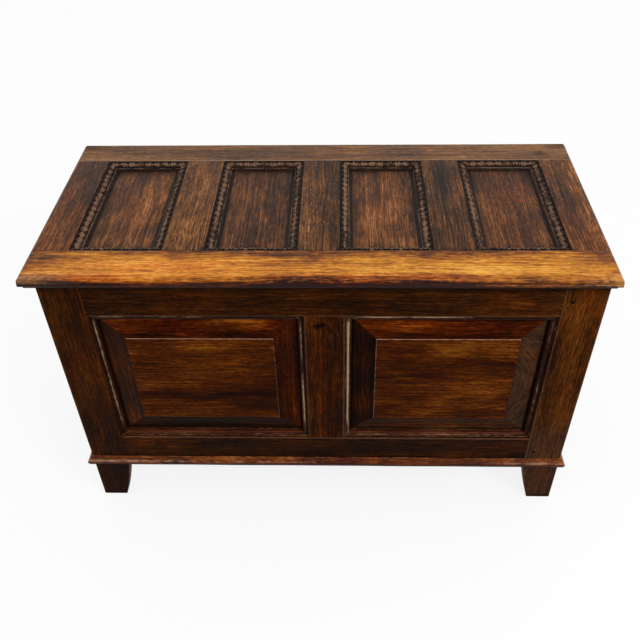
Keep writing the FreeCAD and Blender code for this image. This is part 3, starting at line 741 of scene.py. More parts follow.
@dataclass(frozen=True)
class Oak(Finish):
    """Waxed old oak: whose it is, its colours from dark to light, how it is worn, and the colours that paint
    highlights, shade and sheen on it.
    """

    name: str
    body: Body
    slot: str
    tones: tuple[str, ...]
    rub: str = "9a6f50"
    grime: str = "090503"
    dry: str = "6d5a4a"
    redness: Colour = (1.25, 0.62, 0.42, 1.0)
    strength: float = 2.0
    pore: float = 0.6
    gloss: float = 0.38
    specular: float = 0.16
    coat: float = 0.0
    coat_dull: float = 0.2
    bump: tuple[float, float] = (0.3, 0.0009)
    rub_and_highlight_amount: float = 0.75
    patchy: float = 0.9

    @staticmethod
    def wandering(tree: Tree, grain: Socket) -> Socket:
        """The place in the timber, moved a little across the grain by slow noise.

        Args:
            tree: the material's nodes.
            grain: the place in the timber.

        Returns:
            The moved place.
        """
        clouds = tree.clouds(grain, *Noise.DRIFT.value).outputs["Color"]
        drift = tree.vector("MULTIPLY", tree.vector("SUBTRACT", clouds, (0.5, 0.5, 0.5)), (0.0, 0.024, 0.024))
        return tree.vector("ADD", grain, drift)

    def tone(self, tree: Tree, wavy: Socket, patch: Socket, speck: Socket,
             shift: Socket) -> tuple[Socket, Socket, Socket]:
        """Streaks of several widths added up.

        Args:
            tree: the material's nodes.
            wavy: place in the timber, wandering a little.
            patch: slow patches.
            speck: small specks.
            shift: the painted tone.

        Returns:
            The tone from 0 to 1, the streaks and the fibres.
        """
        streak, band, fibre = (tree.noise(wavy, *kind.value)
                               for kind in (Noise.STREAK, Noise.BAND, Noise.FIBRE))
        total = tree.plus(0.5, shift)
        for part, share in ((streak, 0.34), (band, 0.32), (fibre, 0.7), (patch, 0.4), (speck, 0.3)):
            inputs = {0: tree.minus(part, 0.5), 1: share * self.strength, 2: total}
            total = tree.add("ShaderNodeMath", inputs, operation="MULTIPLY_ADD").outputs[0]
        return total, streak, fibre

    def build(self) -> bpy.types.Material:
        """Nodes for grain, pores, patches, rubbed arrises and painted highlights, grime and painted shade,
        nicks, and stains with painted light, shade and sheen.

        Returns:
            The material.
        """
        tree = Tree(bpy.data.materials.new(self.name))
        plus, minus, times, mix, step = tree.plus, tree.minus, tree.times, tree.mix, tree.step
        grain, wear, stain_and_light = (tree.add("ShaderNodeAttribute", attribute_name=name).outputs["Vector"]
                              for name in ("grain", "wear", "stain_and_light"))
        rubbed, grimy_and_shaded, nicked = tree.add("ShaderNodeSeparateXYZ", {0: wear}).outputs
        shift, red, dry = tree.add("ShaderNodeSeparateXYZ", {0: stain_and_light}).outputs
        wavy = self.wandering(tree, grain)
        patch, speck, chip = (tree.noise(grain, *kind.value)
                              for kind in (Noise.PATCH, Noise.SPECK, Noise.CHIP))
        pores = step(tree.noise(wavy, *Noise.PORE.value), 0.56, 0.68)
        tone, streak, fibre = self.tone(tree, wavy, patch, speck, shift)
        colour = tree.ramp(tone, [tint(code) for code in self.tones])
        colour = mix(red, colour, mix(1.0, colour, self.redness, "MULTIPLY"))
        # The dry colour greys the wood and paints sheen, the rub colour paints rubbed wear and highlights,
        # and the grime colour paints pores, dirt and shade.
        colour = mix(times(dry, step(streak, 0.25, 0.75)), colour, tint(self.dry))
        colour = mix(times(pores, self.pore), colour, tint(self.grime))
        uneven = times(minus(speck, 0.5), self.patchy)
        rub = step(plus(rubbed, uneven), 0.27, 0.8, 0.0, self.rub_and_highlight_amount)
        colour = mix(rub, colour, tint(self.rub))
        chip = step(plus(times(nicked, 0.26), chip), 0.78, 0.84)
        colour = mix(times(chip, 0.7), colour, tint(self.rub))
        dirt_and_shade = plus(grimy_and_shaded, times(minus(patch, 0.5), 0.5))
        dirt_and_shade = times(step(dirt_and_shade, 0.06, 0.95), step(grimy_and_shaded, 0.0, 0.12), clamp=True)
        colour = mix(times(dirt_and_shade, 0.94), colour, tint(self.grime))
        dull = plus(times(patch, 0.3), self.gloss - 0.15)
        dull = plus(dull, times(dirt_and_shade, 0.25), clamp=True)
        height = minus(plus(times(streak, 0.5), times(fibre, 0.5)), times(pores, 0.4))
        levels = {"Specular IOR Level": self.specular, "Coat Weight": self.coat,
                  "Coat Roughness": self.coat_dull}
        return tree.dress(colour, dull, height, self.bump, levels)


@dataclass(frozen=True)
class Iron(Finish):
    """Blackened wrought iron with brown rust in patches."""

    name: str = "blackened_iron"
    black: str = "2b2825"
    rust: str = "4d2f1d"
    bump: tuple[float, float] = (0.4, 0.0006)
    metallic: float = 0.75

    def build(self) -> bpy.types.Material:
        """Nodes for the black skin, rust patches and hammered unevenness.

        Returns:
            The material.
        """
        tree = Tree(bpy.data.materials.new(self.name))
        place = tree.add("ShaderNodeTexCoord").outputs["Object"]
        patch = tree.noise(place, (90, 90, 90), 4, 0.6)
        pits = tree.noise(place, (700, 700, 700), 2)
        colour = tree.mix(tree.step(patch, 0.5, 0.68), tint(self.black), tint(self.rust))
        dull = tree.step(patch, 0.3, 0.7, 0.35, 0.7)
        height = tree.plus(patch, tree.times(pits, 0.4))
        return tree.dress(colour, dull, height, self.bump, {"Metallic": self.metallic})


@dataclass(frozen=True)
class PlainOak(Finish):
    """Oak on a solid that keeps its own mesh: grain along one axis of the part."""

    name: str
    tones: tuple[str, str, str]
    scale: Point
    dull: float = 0.6
    specular: float = 0.12
    bump: tuple[float, float] = (0.3, 0.0008)

    def build(self) -> bpy.types.Material:
        """Nodes for streaks, fibres and patches along the grain.

        Returns:
            The material.
        """
        tree = Tree(bpy.data.materials.new(self.name))
        place = tree.add("ShaderNodeTexCoord").outputs["Object"]
        streak = tree.noise(place, self.scale, 4, 0.6)
        fibre = tree.noise(place, tuple(6 * part for part in self.scale), 2)
        patch = tree.noise(place, (6, 6, 6), 3)
        tone = tree.plus(tree.times(streak, 0.5), tree.times(fibre, 0.2))
        tone = tree.step(tree.plus(tone, tree.times(patch, 0.3)), 0.36, 0.64)
        colour = tree.ramp(tone, [tint(code) for code in self.tones])
        dull = tree.step(patch, 0.3, 0.7, self.dull - 0.1, self.dull + 0.1)
        levels = {"Specular IOR Level": self.specular}
        return tree.dress(colour, dull, tree.plus(streak, fibre), self.bump, levels)


# Each finish's rub colour paints rubbed wear and highlights, its grime colour dirt and shade, and its dry
# colour greyed wood and sheen.
RAIL_OAK = Oak("lid_rail_oak", Body.LID, "oak_lid_front", ("220e05", "5a2b0b", "99570f", "c98021", "e6a949"),
               rub="c98c48", strength=2.3, specular=0.12, coat=0.03)
LID_OAK = Oak("lid_oak", Body.LID, "oak_lid_frame", ("150b05", "341d0d", "563216", "7f4f25", "a87544"),
              rub="b8967a", rub_and_highlight_amount=0.6, strength=2.4, specular=0.085, coat=0.03)
LID_PANEL_OAK = Oak("lid_panel_oak", Body.LID, "oak_lid_panel",
                    ("150a05", "341b0c", "563013", "804d24", "ac7344"),
                    strength=2.3, specular=0.095, coat=0.03)
CARVED_OAK = Oak("carved_oak", Body.LID, "oak_carved", ("080503", "140b07", "22140d", "362117", "503527"),
                 rub="806049", rub_and_highlight_amount=0.9, gloss=0.3, specular=0.08, patchy=1.2)
FRAME_OAK = Oak("frame_oak", Body.CARCASE, "oak_frame", ("120703", "2c1405", "492407", "6c3a0f", "8f5620"),
                rub="7a5540", rub_and_highlight_amount=0.5, specular=0.02)
FIELD_OAK = Oak("field_oak", Body.CARCASE, "oak_field", ("0e0401", "2c0f03", "4a1e04", "73390c", "a5641f"),
                rub="c08d74", rub_and_highlight_amount=0.8, dry="5e5542", specular=0.02)
BEAD_OAK = Oak("bead_oak", Body.CARCASE, "oak_bead", ("100604", "22100a", "381b10", "552e1c", "744a32"),
               rub="d6b48c", rub_and_highlight_amount=0.9, gloss=0.3, strength=1.3, specular=0.035, patchy=0.65)
BASE_OAK = Oak("base_oak", Body.CARCASE, "oak_base", ("1a0a05", "3d1a08", "66330f", "955a20", "b98244"),
               rub="bd9274", rub_and_highlight_amount=0.6, gloss=0.32, specular=0.1)
BACK_OAK = Oak("back_oak", Body.CARCASE, "oak_back", ("150e09", "2b1d13", "422e1f", "5a4230", "755a44"),
               gloss=0.6)
BARE_OAK = ("3b2615", "5c3f26", "7b5a38")
PEG_OAK = ("0f0805", "1c0f08", "2c180c")


@dataclass
class Chest:
    """The sizes that several sub-assemblies share."""

    half_width: float = 559.5
    front: float = -249.5
    back: float = 250.0
    top: float = 671.7
    foot_height: float = 130.0
    foot_width: float = 56.0
    foot_swell: float = 2.5
    stile_width: float = 84.5
    thickness: float = 32.0
    side_thickness: float = 28.0
    top_rail_low: float = 594.7
    bottom_rail_top: float = 222.0
    muntin_half: float = 41.0
    muntin_offset: float = 6.0

    @property
    def opening_edge(self) -> float:
        """Where a stile's inner edge stands, from the middle."""
        return self.half_width - self.stile_width

    @property
    def opening_height(self) -> float:
        """The clear height between the rails."""
        return self.top_rail_low - self.bottom_rail_top

    @property
    def ends(self) -> tuple[float, float]:
        """Where the side frames start behind the front stiles and end before the back ones."""
        return self.front + self.thickness, self.back - self.thickness

    @property
    def levels(self) -> dict[str, tuple[float, float]]:
        """The lowest and highest place of the rails."""
        return {"top": (self.top_rail_low, self.top), "bottom": (self.foot_height, self.bottom_rail_top)}


@dataclass
class Lid:
    """The lid's frame and panels, with a moulded edge on its front and both ends.

    Each tone spot is its place across and back, its reach both ways, and its tone; the
    spot at (555, -256) on the nosing's right end is a painted highlight. The nosing's
    corners are places in from the edge and above the underside.
    """

    half_width: float = 582.0
    front: float = -265.0
    back: float = 265.0
    low: float = 672.0
    high: float = 700.0
    front_joint: float = -170.0
    back_joint: float = 189.0
    stile_width: float = 80.5
    muntin_width: float = 84.0
    panels: int = 4
    panel_top: float = 686.0
    panel_thickness: float = 7.0
    panel_lap: float = 8.0
    moulding_width: float = 25.0
    edge_wear: float = 0.9
    edge_step: float = 1.5
    arris: float = 0.5
    back_arris: float = 1.2
    muntin_arris: float = 0.6
    step: float = 4.0
    long_step: float = 5.0
    corner_radius: float = 5.0
    joint_gap: float = 0.15
    spot_depth: float = 24.0
    # Tone spots; the one at (555, -256) is a painted highlight on the nosing's right end.
    tone_spots: Rows = (
        (-285, -195, 26, 9, -0.25), (210, -184, 40, 7, -0.18), (-560, -200, 45, 34, -0.22),
        (-94, -185, 55, 9, -0.2), (265, -196, 40, 9, -0.14), (415, -196, 45, 14, 0.16),
        (-244, -222, 60, 16, 0.12), (511, -222, 28, 14, -0.12), (565, -205, 20, 30, 0.15),
        (150, -181, 190, 11, -0.2), (-400, -217, 150, 14, 0.14), (-490, -199, 60, 8, -0.15),
        (180, -214, 110, 12, 0.12), (-530, -212, 40, 14, -0.2), (395, -257, 40, 9, -0.2),
        (555, -256, 60, 16, 0.28), (-490, -238, 50, 10, 0.15), (-475, -182, 60, 7, 0.2),
        (435, -187, 60, 9, 0.16), (-520, -39, 14, 40, -0.15), (-566, 130, 12, 60, 0.2),
        (556, -160, 24, 32, -0.2), (570, -65, 10, 60, 0.16), (528, -100, 16, 60, -0.2),
        (-515, -110, 16, 60, -0.14), (-285, -45, 12, 25, -0.18), (238, 120, 20, 80, 0.2),
        (238, -120, 20, 50, -0.18), (-362, -40, 24, 110, -0.26), (-412, -140, 24, 26, 0.26),
        (-196, 20, 14, 90, -0.26), (-92, -40, 18, 120, -0.24), (155, -30, 14, 60, -0.18),
        (202, -132, 11, 16, -0.26), (362, 150, 18, 50, -0.28), (405, 20, 30, 50, -0.24),
        (-352, 130, 14, 40, 0.26), (-390, -125, 50, 26, 0.2), (-130, 30, 16, 60, 0.2),
        (125, -122, 40, 24, 0.18), (385, -80, 18, 70, -0.18), (475, 115, 22, 50, -0.24),
        (455, -110, 24, 40, 0.18), (-180, 150, 14, 30, -0.2))
    nosing: Rows = (
        (40.0, 28.0), (11.0, 28.0, 9.0, 1), (2.53, 15.0), (1.93, 15.0, 3.7, 1), (1.93, 8.5, 9.0, -1),
        (9.0, 0.0))

    @property
    def opening(self) -> float:
        """The width of one panel's opening."""
        muntins = (self.panels - 1) * self.muntin_width
        return (2 * self.half_width - 2 * self.stile_width - muntins) / self.panels

    def opening_start(self, index: int) -> float:
        """The left edge of one panel's opening."""
        return -self.half_width + self.stile_width + index * (self.opening + self.muntin_width)

    def recess(self, index: int) -> Seat:
        """The seat of one panel's moulding, as wide and deep as the opening."""
        corner = (self.opening_start(index), self.front_joint, self.panel_top)
        return Seat(corner, (1, 0, 0), self.opening, self.back_joint - self.front_joint, (0, 1, 0))

    def edge_line(self) -> Array:
        """The worn moulded edge from the underside up, as (in from the edge) + i (above the underside)."""
        return worn_profile(bent_line(self.nosing), self.edge_wear, self.edge_step, closed=False).places[::-1]

    def edge_limits(self) -> Shape:
        """A shape that cuts a rail's ends to the moulded edge and rounds its corners.

        At a distance in from the end, heights are held between the edge's lower and
        upper outline there, and places across within a quarter circle at the corner.

        Returns:
            The shape.
        """
        edge = self.edge_line()
        tip = int(np.argmin(edge.real))
        lower, upper = edge[:tip + 1][::-1], edge[tip:]
        upper_reach = np.minimum.accumulate(upper.real[::-1])[::-1]

        def cut(places: Array, stations: Array) -> Array:
            """Hold a section within the moulded end.

            Args:
                places: section places at each station.
                stations: places along the rail.

            Returns:
                The section places as cut.
            """
            inward = (self.half_width - np.abs(stations))[:, None]
            floor = self.low + np.interp(inward, lower.real, lower.imag, right=0.0)
            ceiling = self.low + np.interp(inward, upper_reach, upper.imag)
            short = np.clip(self.corner_radius - inward, 0, self.corner_radius)
            drop = self.corner_radius - np.sqrt(self.corner_radius**2 - short**2)
            across = np.clip(places.real, self.front + drop, self.back - drop)
            return across + 1j * np.clip(places.imag, floor, ceiling)

        return cut

    def rail_stations(self) -> tuple[Array, Array]:
        """Stations along a rail, close together through its moulded ends.

        Returns:
            Places along the rail, and a shrinking of nought at each.
        """
        inward = np.concatenate([[0.1, 0.3], np.linspace(0.6, 13, 26), [15, 18]])
        left = inward - self.half_width
        middle = np.linspace(left[-1], -left[-1], 230)[1:-1]
        stations = np.concatenate([left, middle, -left[::-1]])
        return stations, np.zeros(len(stations))

    def rail(self, section: Array, arris: float, step: float, seed: int) -> Surface:
        """A rail across the lid, cut to the moulded edge at its ends."""
        profile = worn_profile(section, arris, step)
        return swept(profile, *self.rail_stations(), Run.WIDTH, seed, self.edge_limits())

    @staticmethod
    def under_nosing(above: Array, inward: Array) -> Array:
        """How far a place lies in the nosing's lower shade, from its height and distance in."""
        return ease(above, 9, 1) * ease(inward, 26, 14)

    def front_rail(self) -> Surface:
        """The front rail, golden along its worn middle, with painted shade down and under its nosing, a
        painted sheen on its left end and a painted highlight on its right end.

        Returns:
            The closed skin.
        """
        edge = self.edge_line()[:-1][::-1]
        inner = [complex(self.front_joint, self.low), complex(self.front_joint, self.high)]
        section = np.concatenate([inner, edge.real + self.front + 1j * (edge.imag + self.low)])
        rail = self.rail(section, self.arris, self.step, 11)
        x, y, z = rail.points.T
        inward, above, from_joint = y - self.front, z - self.low, self.front_joint - y
        drift, ripple = waver(rail.points, 5, 320), waver(rail.points, 6, 60)
        gold = ease(from_joint + 14 * drift, 2, 34) * ease(self.half_width - np.abs(x) + 25 * drift, 8, 75)
        # Painted shade where the nosing rolls over and down its lower roll, weaker towards the ends, and
        # redder with it.
        brink_shade = ease(inward + 3 * ripple, 24, 9)
        brink_shade *= 1 - 0.8 * ease(x, -20, -160) * ease(x, -430, -320) - 0.9 * ease(x, 200, 400)
        nose_shade = ease(above + 1.2 * ripple, 26, 14) * ease(inward, 26, 14) * (1 - 0.55 * ease(x, 120, 400))
        orange = 0.35 * rail.spot((-300, -225, self.high), (190, 24, 20))
        paler = 0.1 * ease(x, -330, -480)
        rail.marks[:, Mark.RUBBED] *= ease(above, 16, 22) * ease(from_joint, 2, 6)
        rail.mark(tone=0.27 * gold + paler - 0.14 - 0.3 * brink_shade - 0.5 * nose_shade,
                  red=0.5 * brink_shade + 0.5 * nose_shade + orange)
        # A painted sheen on the left end's roll, a painted highlight on the right end's, and painted shade
        # under the nosing next to the dark joint line.
        sheen = ease(x, -440, -560) * ease(inward, 22, 12) * ease(above, 12, 18)
        right_highlight = 0.45 * ease(x, 430, 545) + 0.35 * ease(x, 555, 575)
        right_highlight *= ease(inward, 30, 12) * ease(above, 8, 14)
        grime = np.maximum(0.4 * ease(from_joint, 7, 1), 0.9 * self.under_nosing(above, inward))
        return rail.mark(rubbed=np.maximum(0.5 * sheen, right_highlight), dry=sheen, grime=grime)

    def back_rail(self) -> Surface:
        """The back rail, plain at the back, moulded and bruised at its ends.

        Returns:
            The closed skin.
        """
        section = bent_line([(self.back_joint, self.low), (self.back, self.low), (self.back, self.high),
                             (self.back_joint, self.high)])
        rail = self.rail(section, self.back_arris, self.long_step, 12)
        x, y, _ = rail.points.T
        bruise = ease(np.abs(x), 490, 560) * ease(y, 215, 265)
        bruise += rail.spot((509, 219, self.high), (24, 12, 20))
        rail.mottled(14, 140, 0.1)
        return rail.mark(grime=0.4 * ease(y - self.back_joint, 6, 1) + 0.6 * bruise, tone=0.1, dry=0.4)

    def left_stile(self) -> Surface:
        """The left end stile with its moulded outer edge.

        Returns:
            The closed skin.
        """
        edge, inner = self.edge_line()[:-1], self.opening_start(0)
        section = np.concatenate([edge.imag + self.low + 1j * (edge.real - self.half_width),
                                  [complex(self.high, inner), complex(self.low, inner)]])
        start, end = self.front_joint + self.joint_gap, self.back_joint - self.joint_gap
        ends = end_stations(start, end, self.arris, self.long_step)
        stile = swept(worn_profile(section, self.arris, self.step), *ends, Run.DEPTH, 13, uneven=0.08)
        x, y, z = stile.points.T
        above = z - self.low
        gold = 0.17 * ease(60 * waver(stile.points, 8, 200) - y, -80, 170) * ease(above, 18, 27)
        stile.mottled(15, 90, 0.08, 0.3)
        stile.marks[:, Mark.RUBBED] *= np.where(x > inner - 6, 0.3, 0.7)
        # Painted shade under the nosing.
        under = self.under_nosing(above, x + self.half_width)
        return stile.mark(tone=gold - 0.07, red=2 * gold, grime=0.7 * under)

    def muntin(self, index: int) -> Surface:
        """One upright between two panels.

        Args:
            index: its number from the left.

        Returns:
            The closed skin.
        """
        start = self.opening_start(index) + self.opening
        low = (start, self.front_joint + self.joint_gap, self.low)
        high = (start + self.muntin_width, self.back_joint - self.joint_gap, self.high)
        piece = board(low, high, Run.DEPTH, 20 + index, self.muntin_arris, self.step)
        x, y, _ = piece.points.T
        edge = np.minimum(x - low[0], high[0] - x)
        ends = np.minimum(y - low[1], high[1] - y)
        drift = waver(piece.points, 31 + index, 160)
        tone = (0.05, -0.15, -0.16)[index] + 0.1 * drift
        nicks = (0.1, 0.66, 0.0)[index] * ease(x - low[0] + 30 * drift, 80, 0)
        piece.marks[:, Mark.RUBBED] *= 0.3
        return piece.mark(grime=0.25 * ease(edge, 8, 0) + 0.35 * ease(ends, 10, 0), tone=tone, nicks=nicks)

    def panel(self, index: int) -> Surface:
        """One flat sunk panel, darker towards its moulding and rubbed lighter in the middle.

        Args:
            index: its number from the left.

        Returns:
            The closed skin.
        """
        start, lap = self.opening_start(index), self.panel_lap
        low = (start - lap, self.front_joint - lap, self.panel_top - self.panel_thickness)
        high = (start + self.opening + lap, self.back_joint + lap, self.panel_top)
        piece = board(low, high, Run.DEPTH, 40 + index, self.arris, self.step)
        edge = self.recess(index).measured(piece.points)[3] - self.moulding_width
        drift = waver(piece.points, 50 + index, 150)
        middle = ease(edge + 14 * drift, 2, 50)
        tone = (0.14, -0.04, 0.09, -0.09)[index] * middle - 0.06 + 0.09 * drift
        tone -= 0.09 * ease(piece.points[:, 1], 20, 170)
        # Dirt and painted shade next to the moulding.
        grime = 0.4 * ease(edge, 2, 0.5) + 0.45 * ease(edge + 6 * drift, 22, 0)
        return piece.mark(grime=grime, tone=tone, red=(0.05, 0.0, 0.06, 0.1)[index] * middle)

    def spotted(self, piece: Surface) -> Surface:
        """A board of the lid, lighter or darker in the listed spots, one of them a painted highlight on the
        nosing's right end.
        """
        return piece.toned(*(((across, back, self.high), (wide, deep, self.spot_depth), tone)
                               for across, back, wide, deep, tone in self.tone_spots))

    def build(self) -> None:
        """Make every board of the lid."""
        self.spotted(self.front_rail()).make("lid_front_rail", RAIL_OAK)
        self.back_rail().make("lid_back_rail", LID_OAK)
        left = self.left_stile()
        for side, stile in (("left", left), ("right", left.mirrored())):
            self.spotted(stile).make(f"lid_{side}_stile", LID_OAK)
        for index, side in enumerate(("left", "centre", "right")):
            self.spotted(self.muntin(index)).make(f"lid_{side}_muntin", LID_OAK)
        for index in range(self.panels):
            self.spotted(self.panel(index)).make(f"lid_panel_{index + 1}", LID_PANEL_OAK)


@dataclass
class LidMoulding:
    """The carved moulding round each lid panel: leaves on an ovolo, a fillet and a cove."""

    lid: Lid
    clearance: float = 0.1
    ovolo_start: float = 2.5
    ovolo_width: float = 15.5
    fillet_place: float = 19.5
    fillet_low: float = 3.5
    leaf_pitch: float = 19.5
    depth: float = 2.3
    proud: float = 0.5
    step: float = 1.25
    carving_low: float = 4.0
    carving_step: float = 0.75
    plain_step: float = 4.0
    wear: float = 0.35
    section: Rows = (
        (0.0, 0.0), (25.0, 0.0), (25.0, 1.2, 7.0, -1), (20.0, 5.0), (18.0, 5.0), (18.0, 6.5, 14.0, 1),
        (2.5, 12.0), (2.5, 13.0), (0.0, 13.0))
    ovolo: Rows = ((2.5, 6, 10, 14, 18), (12.0, 11.6, 10.3, 8.5, 6.5))

    def leaves(self, along: Array, inset: Array, rise: Array) -> Array:
        """Carving depth: a row of veined leaves that point inwards, with a dart between two.

        A leaf is a dome across its own half width, which narrows to its tip as
        (1 - t^4)^0.5; its mid vein is a bell-shaped groove and its side veins a
        slanting cosine. A dart is a narrow bell-shaped ridge half way between leaves.

        Args:
            along: place along the side.
            inset: distance in from the edge.
            rise: height above the panel.

        Returns:
            Height above the plain ovolo, negative where it is cut away.
        """
        t = (inset - self.ovolo_start) / self.ovolo_width
        on_ovolo = ease(t, 0.0, 0.07) * ease(t, 1.0, 0.93) * (rise > 5.6)
        t = np.clip(t, 0, 1)
        xi = (along / self.leaf_pitch + 0.5) % 1 - 0.5
        half = 0.43 * (1 - t**4)**0.5 * (1 - 0.1 * np.cos(t * 19)) + 0.01
        dome = np.sqrt(np.clip(1 - (xi / half)**2, 0, 1))
        vein = 0.5 * bell(xi, 0.0, 0.05) * ease(t, 0.1, 0.3)
        ribs = 0.26 * np.cos(2 * np.pi * (3.6 * t - 2.4 * np.abs(xi)))
        leaf = np.where(np.abs(xi) < half, dome * (0.85 + ribs) - vein * dome, 0)
        dart = 0.8 * bell(np.abs(xi), 0.5, 0.07) * ease(t, 0.25, 0.6)
        return on_ovolo * (-self.depth + (self.depth + self.proud) * np.clip(np.maximum(leaf, dart), 0, 1.05))

    def section_steps(self, places: Array) -> Array:
        """The widest step between points of the section, shorter where it is carved."""
        return np.where(places.imag > self.carving_low, self.carving_step, self.plain_step)

    def rub(self, ring: Surface, seat: Seat) -> None:
        """Paint rubbed wear and highlights on the carving's crests along its middle, and painted shade in
        what lies deeper.

        The front side gets a worn and highlighted line of its own, with painted shade in pockets under its
        leaves; the cove and the outer rim get painted shade too.

        Args:
            ring: the moulding.
            seat: the rectangle it lies on.
        """
        u, _, rise, inset, side = seat.measured(ring.points)
        front = side == Side.BOTTOM
        t = (inset - self.ovolo_start) / self.ovolo_width
        over = rise - np.interp(inset, *self.ovolo)
        worn_and_lit = 0.75 + 0.45 * waver(ring.points, 64, 120)
        broken = worn_and_lit + 0.5 * waver(ring.points, 67, 9)
        leaf = np.abs(((u - seat.width / 2) / self.leaf_pitch + 0.5) % 1 - 0.5)
        pocket = ease(leaf, 0.34, 0.26) * ease(t, 0.5, 0.4)
        # Painted highlights, partly wear: along the crests, the front line and the inner fillet.
        crest = ease(over, 0.0, 0.75) * bell(t, 0.6, 0.4) * broken
        front_crest = (bell(t, 0.66, 0.17) + 0.4 * (t > 0) * (t < 0.6) * (1 - pocket)) * worn_and_lit
        on_fillet = rise > self.fillet_low
        fillet = 0.8 * bell(inset, self.fillet_place, 1.0) * on_fillet * worn_and_lit
        ring.marks[:, Mark.RUBBED] *= 0.4
        ring.marks[:, Mark.GRIME] *= 0.6 * (1 - bell(inset, self.fillet_place - 0.1, 1.1) * on_fillet)
        # Painted shade in the carved hollows, the cove, the outer rim and the front pockets.
        deep = ease(-over, 0.8, 2.0) * (t > 0) * (t < 1)
        cove = 0.6 * ease(inset, 20.8, 22.3)
        rim = 0.9 * ease(t, 0.12, -0.05)
        grime = np.where(front, 0.95 * pocket * (t > 0) + 0.3 * rim, np.maximum(0.9 * deep, rim))
        ring.mark(rubbed=np.where(front, front_crest, crest + fillet), grime=np.maximum(grime, cove))

    def build(self) -> None:
        """Make the moulding of each panel."""
        profile = worn_profile(bent_line(self.section), self.wear, self.section_steps, spread=0.9)
        for index in range(self.lid.panels):
            seat = self.lid.recess(index).trimmed(self.clearance)
            ring = mitred_ring(profile, seat, 60 + index, self.step, relief=self.leaves)
            self.rub(ring, seat)
            ring.make(f"lid_panel_moulding_{index + 1}", CARVED_OAK)


@dataclass(frozen=True)
class PanelLook:
    """How a fielded panel looks on its left, right, bottom and top side.

    Tone, red and dry colour the bevels by side. The tone is painted light and shade,
    lightest on the top bevel, which faces up, and dry greys a bevel, on the right
    panel's right bevel as a painted sheen. Arris is how far the field's edge is rubbed
    and highlighted, crest how far the bead's crest is painted pale as wear and
    highlight, and place how far in from the edge. Each band is its middle across and
    up the opening, its reach across and up, and its tone. Swirl bends the grain of the
    right bevel into arches, and foot is how far the bead's crest is darkened at its
    lower left corner.
    """

    tone: Four = (-0.18, -0.17, -0.24, -0.04)
    red: Four = (0.0, 0.3, 0.0, 0.6)
    dry: Four = (0.15, 0.0, 0.1, 0.0)
    arris: Four = (0.4, 0.55, 0.4, 1.0)
    crest: Four = (0.5, 0.5, 0.38, 0.5)
    place: Four = (9.2, 8.4, 8.4, 5.6)
    bands: Rows = ()
    swirl: float = 0.0
    foot: float = 0.0


LEFT_LOOK = PanelLook(bands=(
    (220, 138, 999, 14, -0.42), (130, 172, 90, 12, 0.08), (200, 290, 140, 12, 0.14),
    (220, 250, 999, 22, 0.1), (290, 346, 60, 15, 0.8), (120, 347, 95, 14, -0.2),
    (388, 348, 36, 16, -0.26), (375, 200, 55, 120, -0.14), (105, 99, 60, 14, -0.16),
    (360, 99, 60, 14, -0.15)))
RIGHT_LOOK = PanelLook(
    tone=(-0.36, -0.14, -0.17, 0.0), red=(0.0, 0.0, 0.0, 0.7), dry=(0.0, 0.4, 0.25, 0.0),
    arris=(0.7, 0.35, 0.35, 1.0), crest=(1.1, 0.36, 0.42, 0.7), place=(6.4, 8.4, 8.4, 5.6),
    swirl=0.006, foot=1.0, bands=(
        (214, 235, 999, 16, -0.15), (214, 178, 999, 12, 0.12), (305, 146, 85, 16, 0.38),
        (112, 104, 70, 18, -0.22), (260, 288, 120, 15, 0.38), (194, 319, 95, 6, 0.3),
        (160, 340, 75, 13, 0.42), (350, 349, 60, 14, -0.22), (300, 105, 70, 14, 0.16),
        (105, 182, 50, 12, -0.14), (250, 214, 120, 12, 0.1)))
SIDE_LOOK = PanelLook(
    tone=(-0.18, -0.17, -0.22, -0.1), red=(0.0, 0.3, 0.0, 0.4),
    bands=((218, 138, 999, 14, -0.25), (150, 290, 140, 14, 0.14), (260, 215, 110, 18, 0.1)))


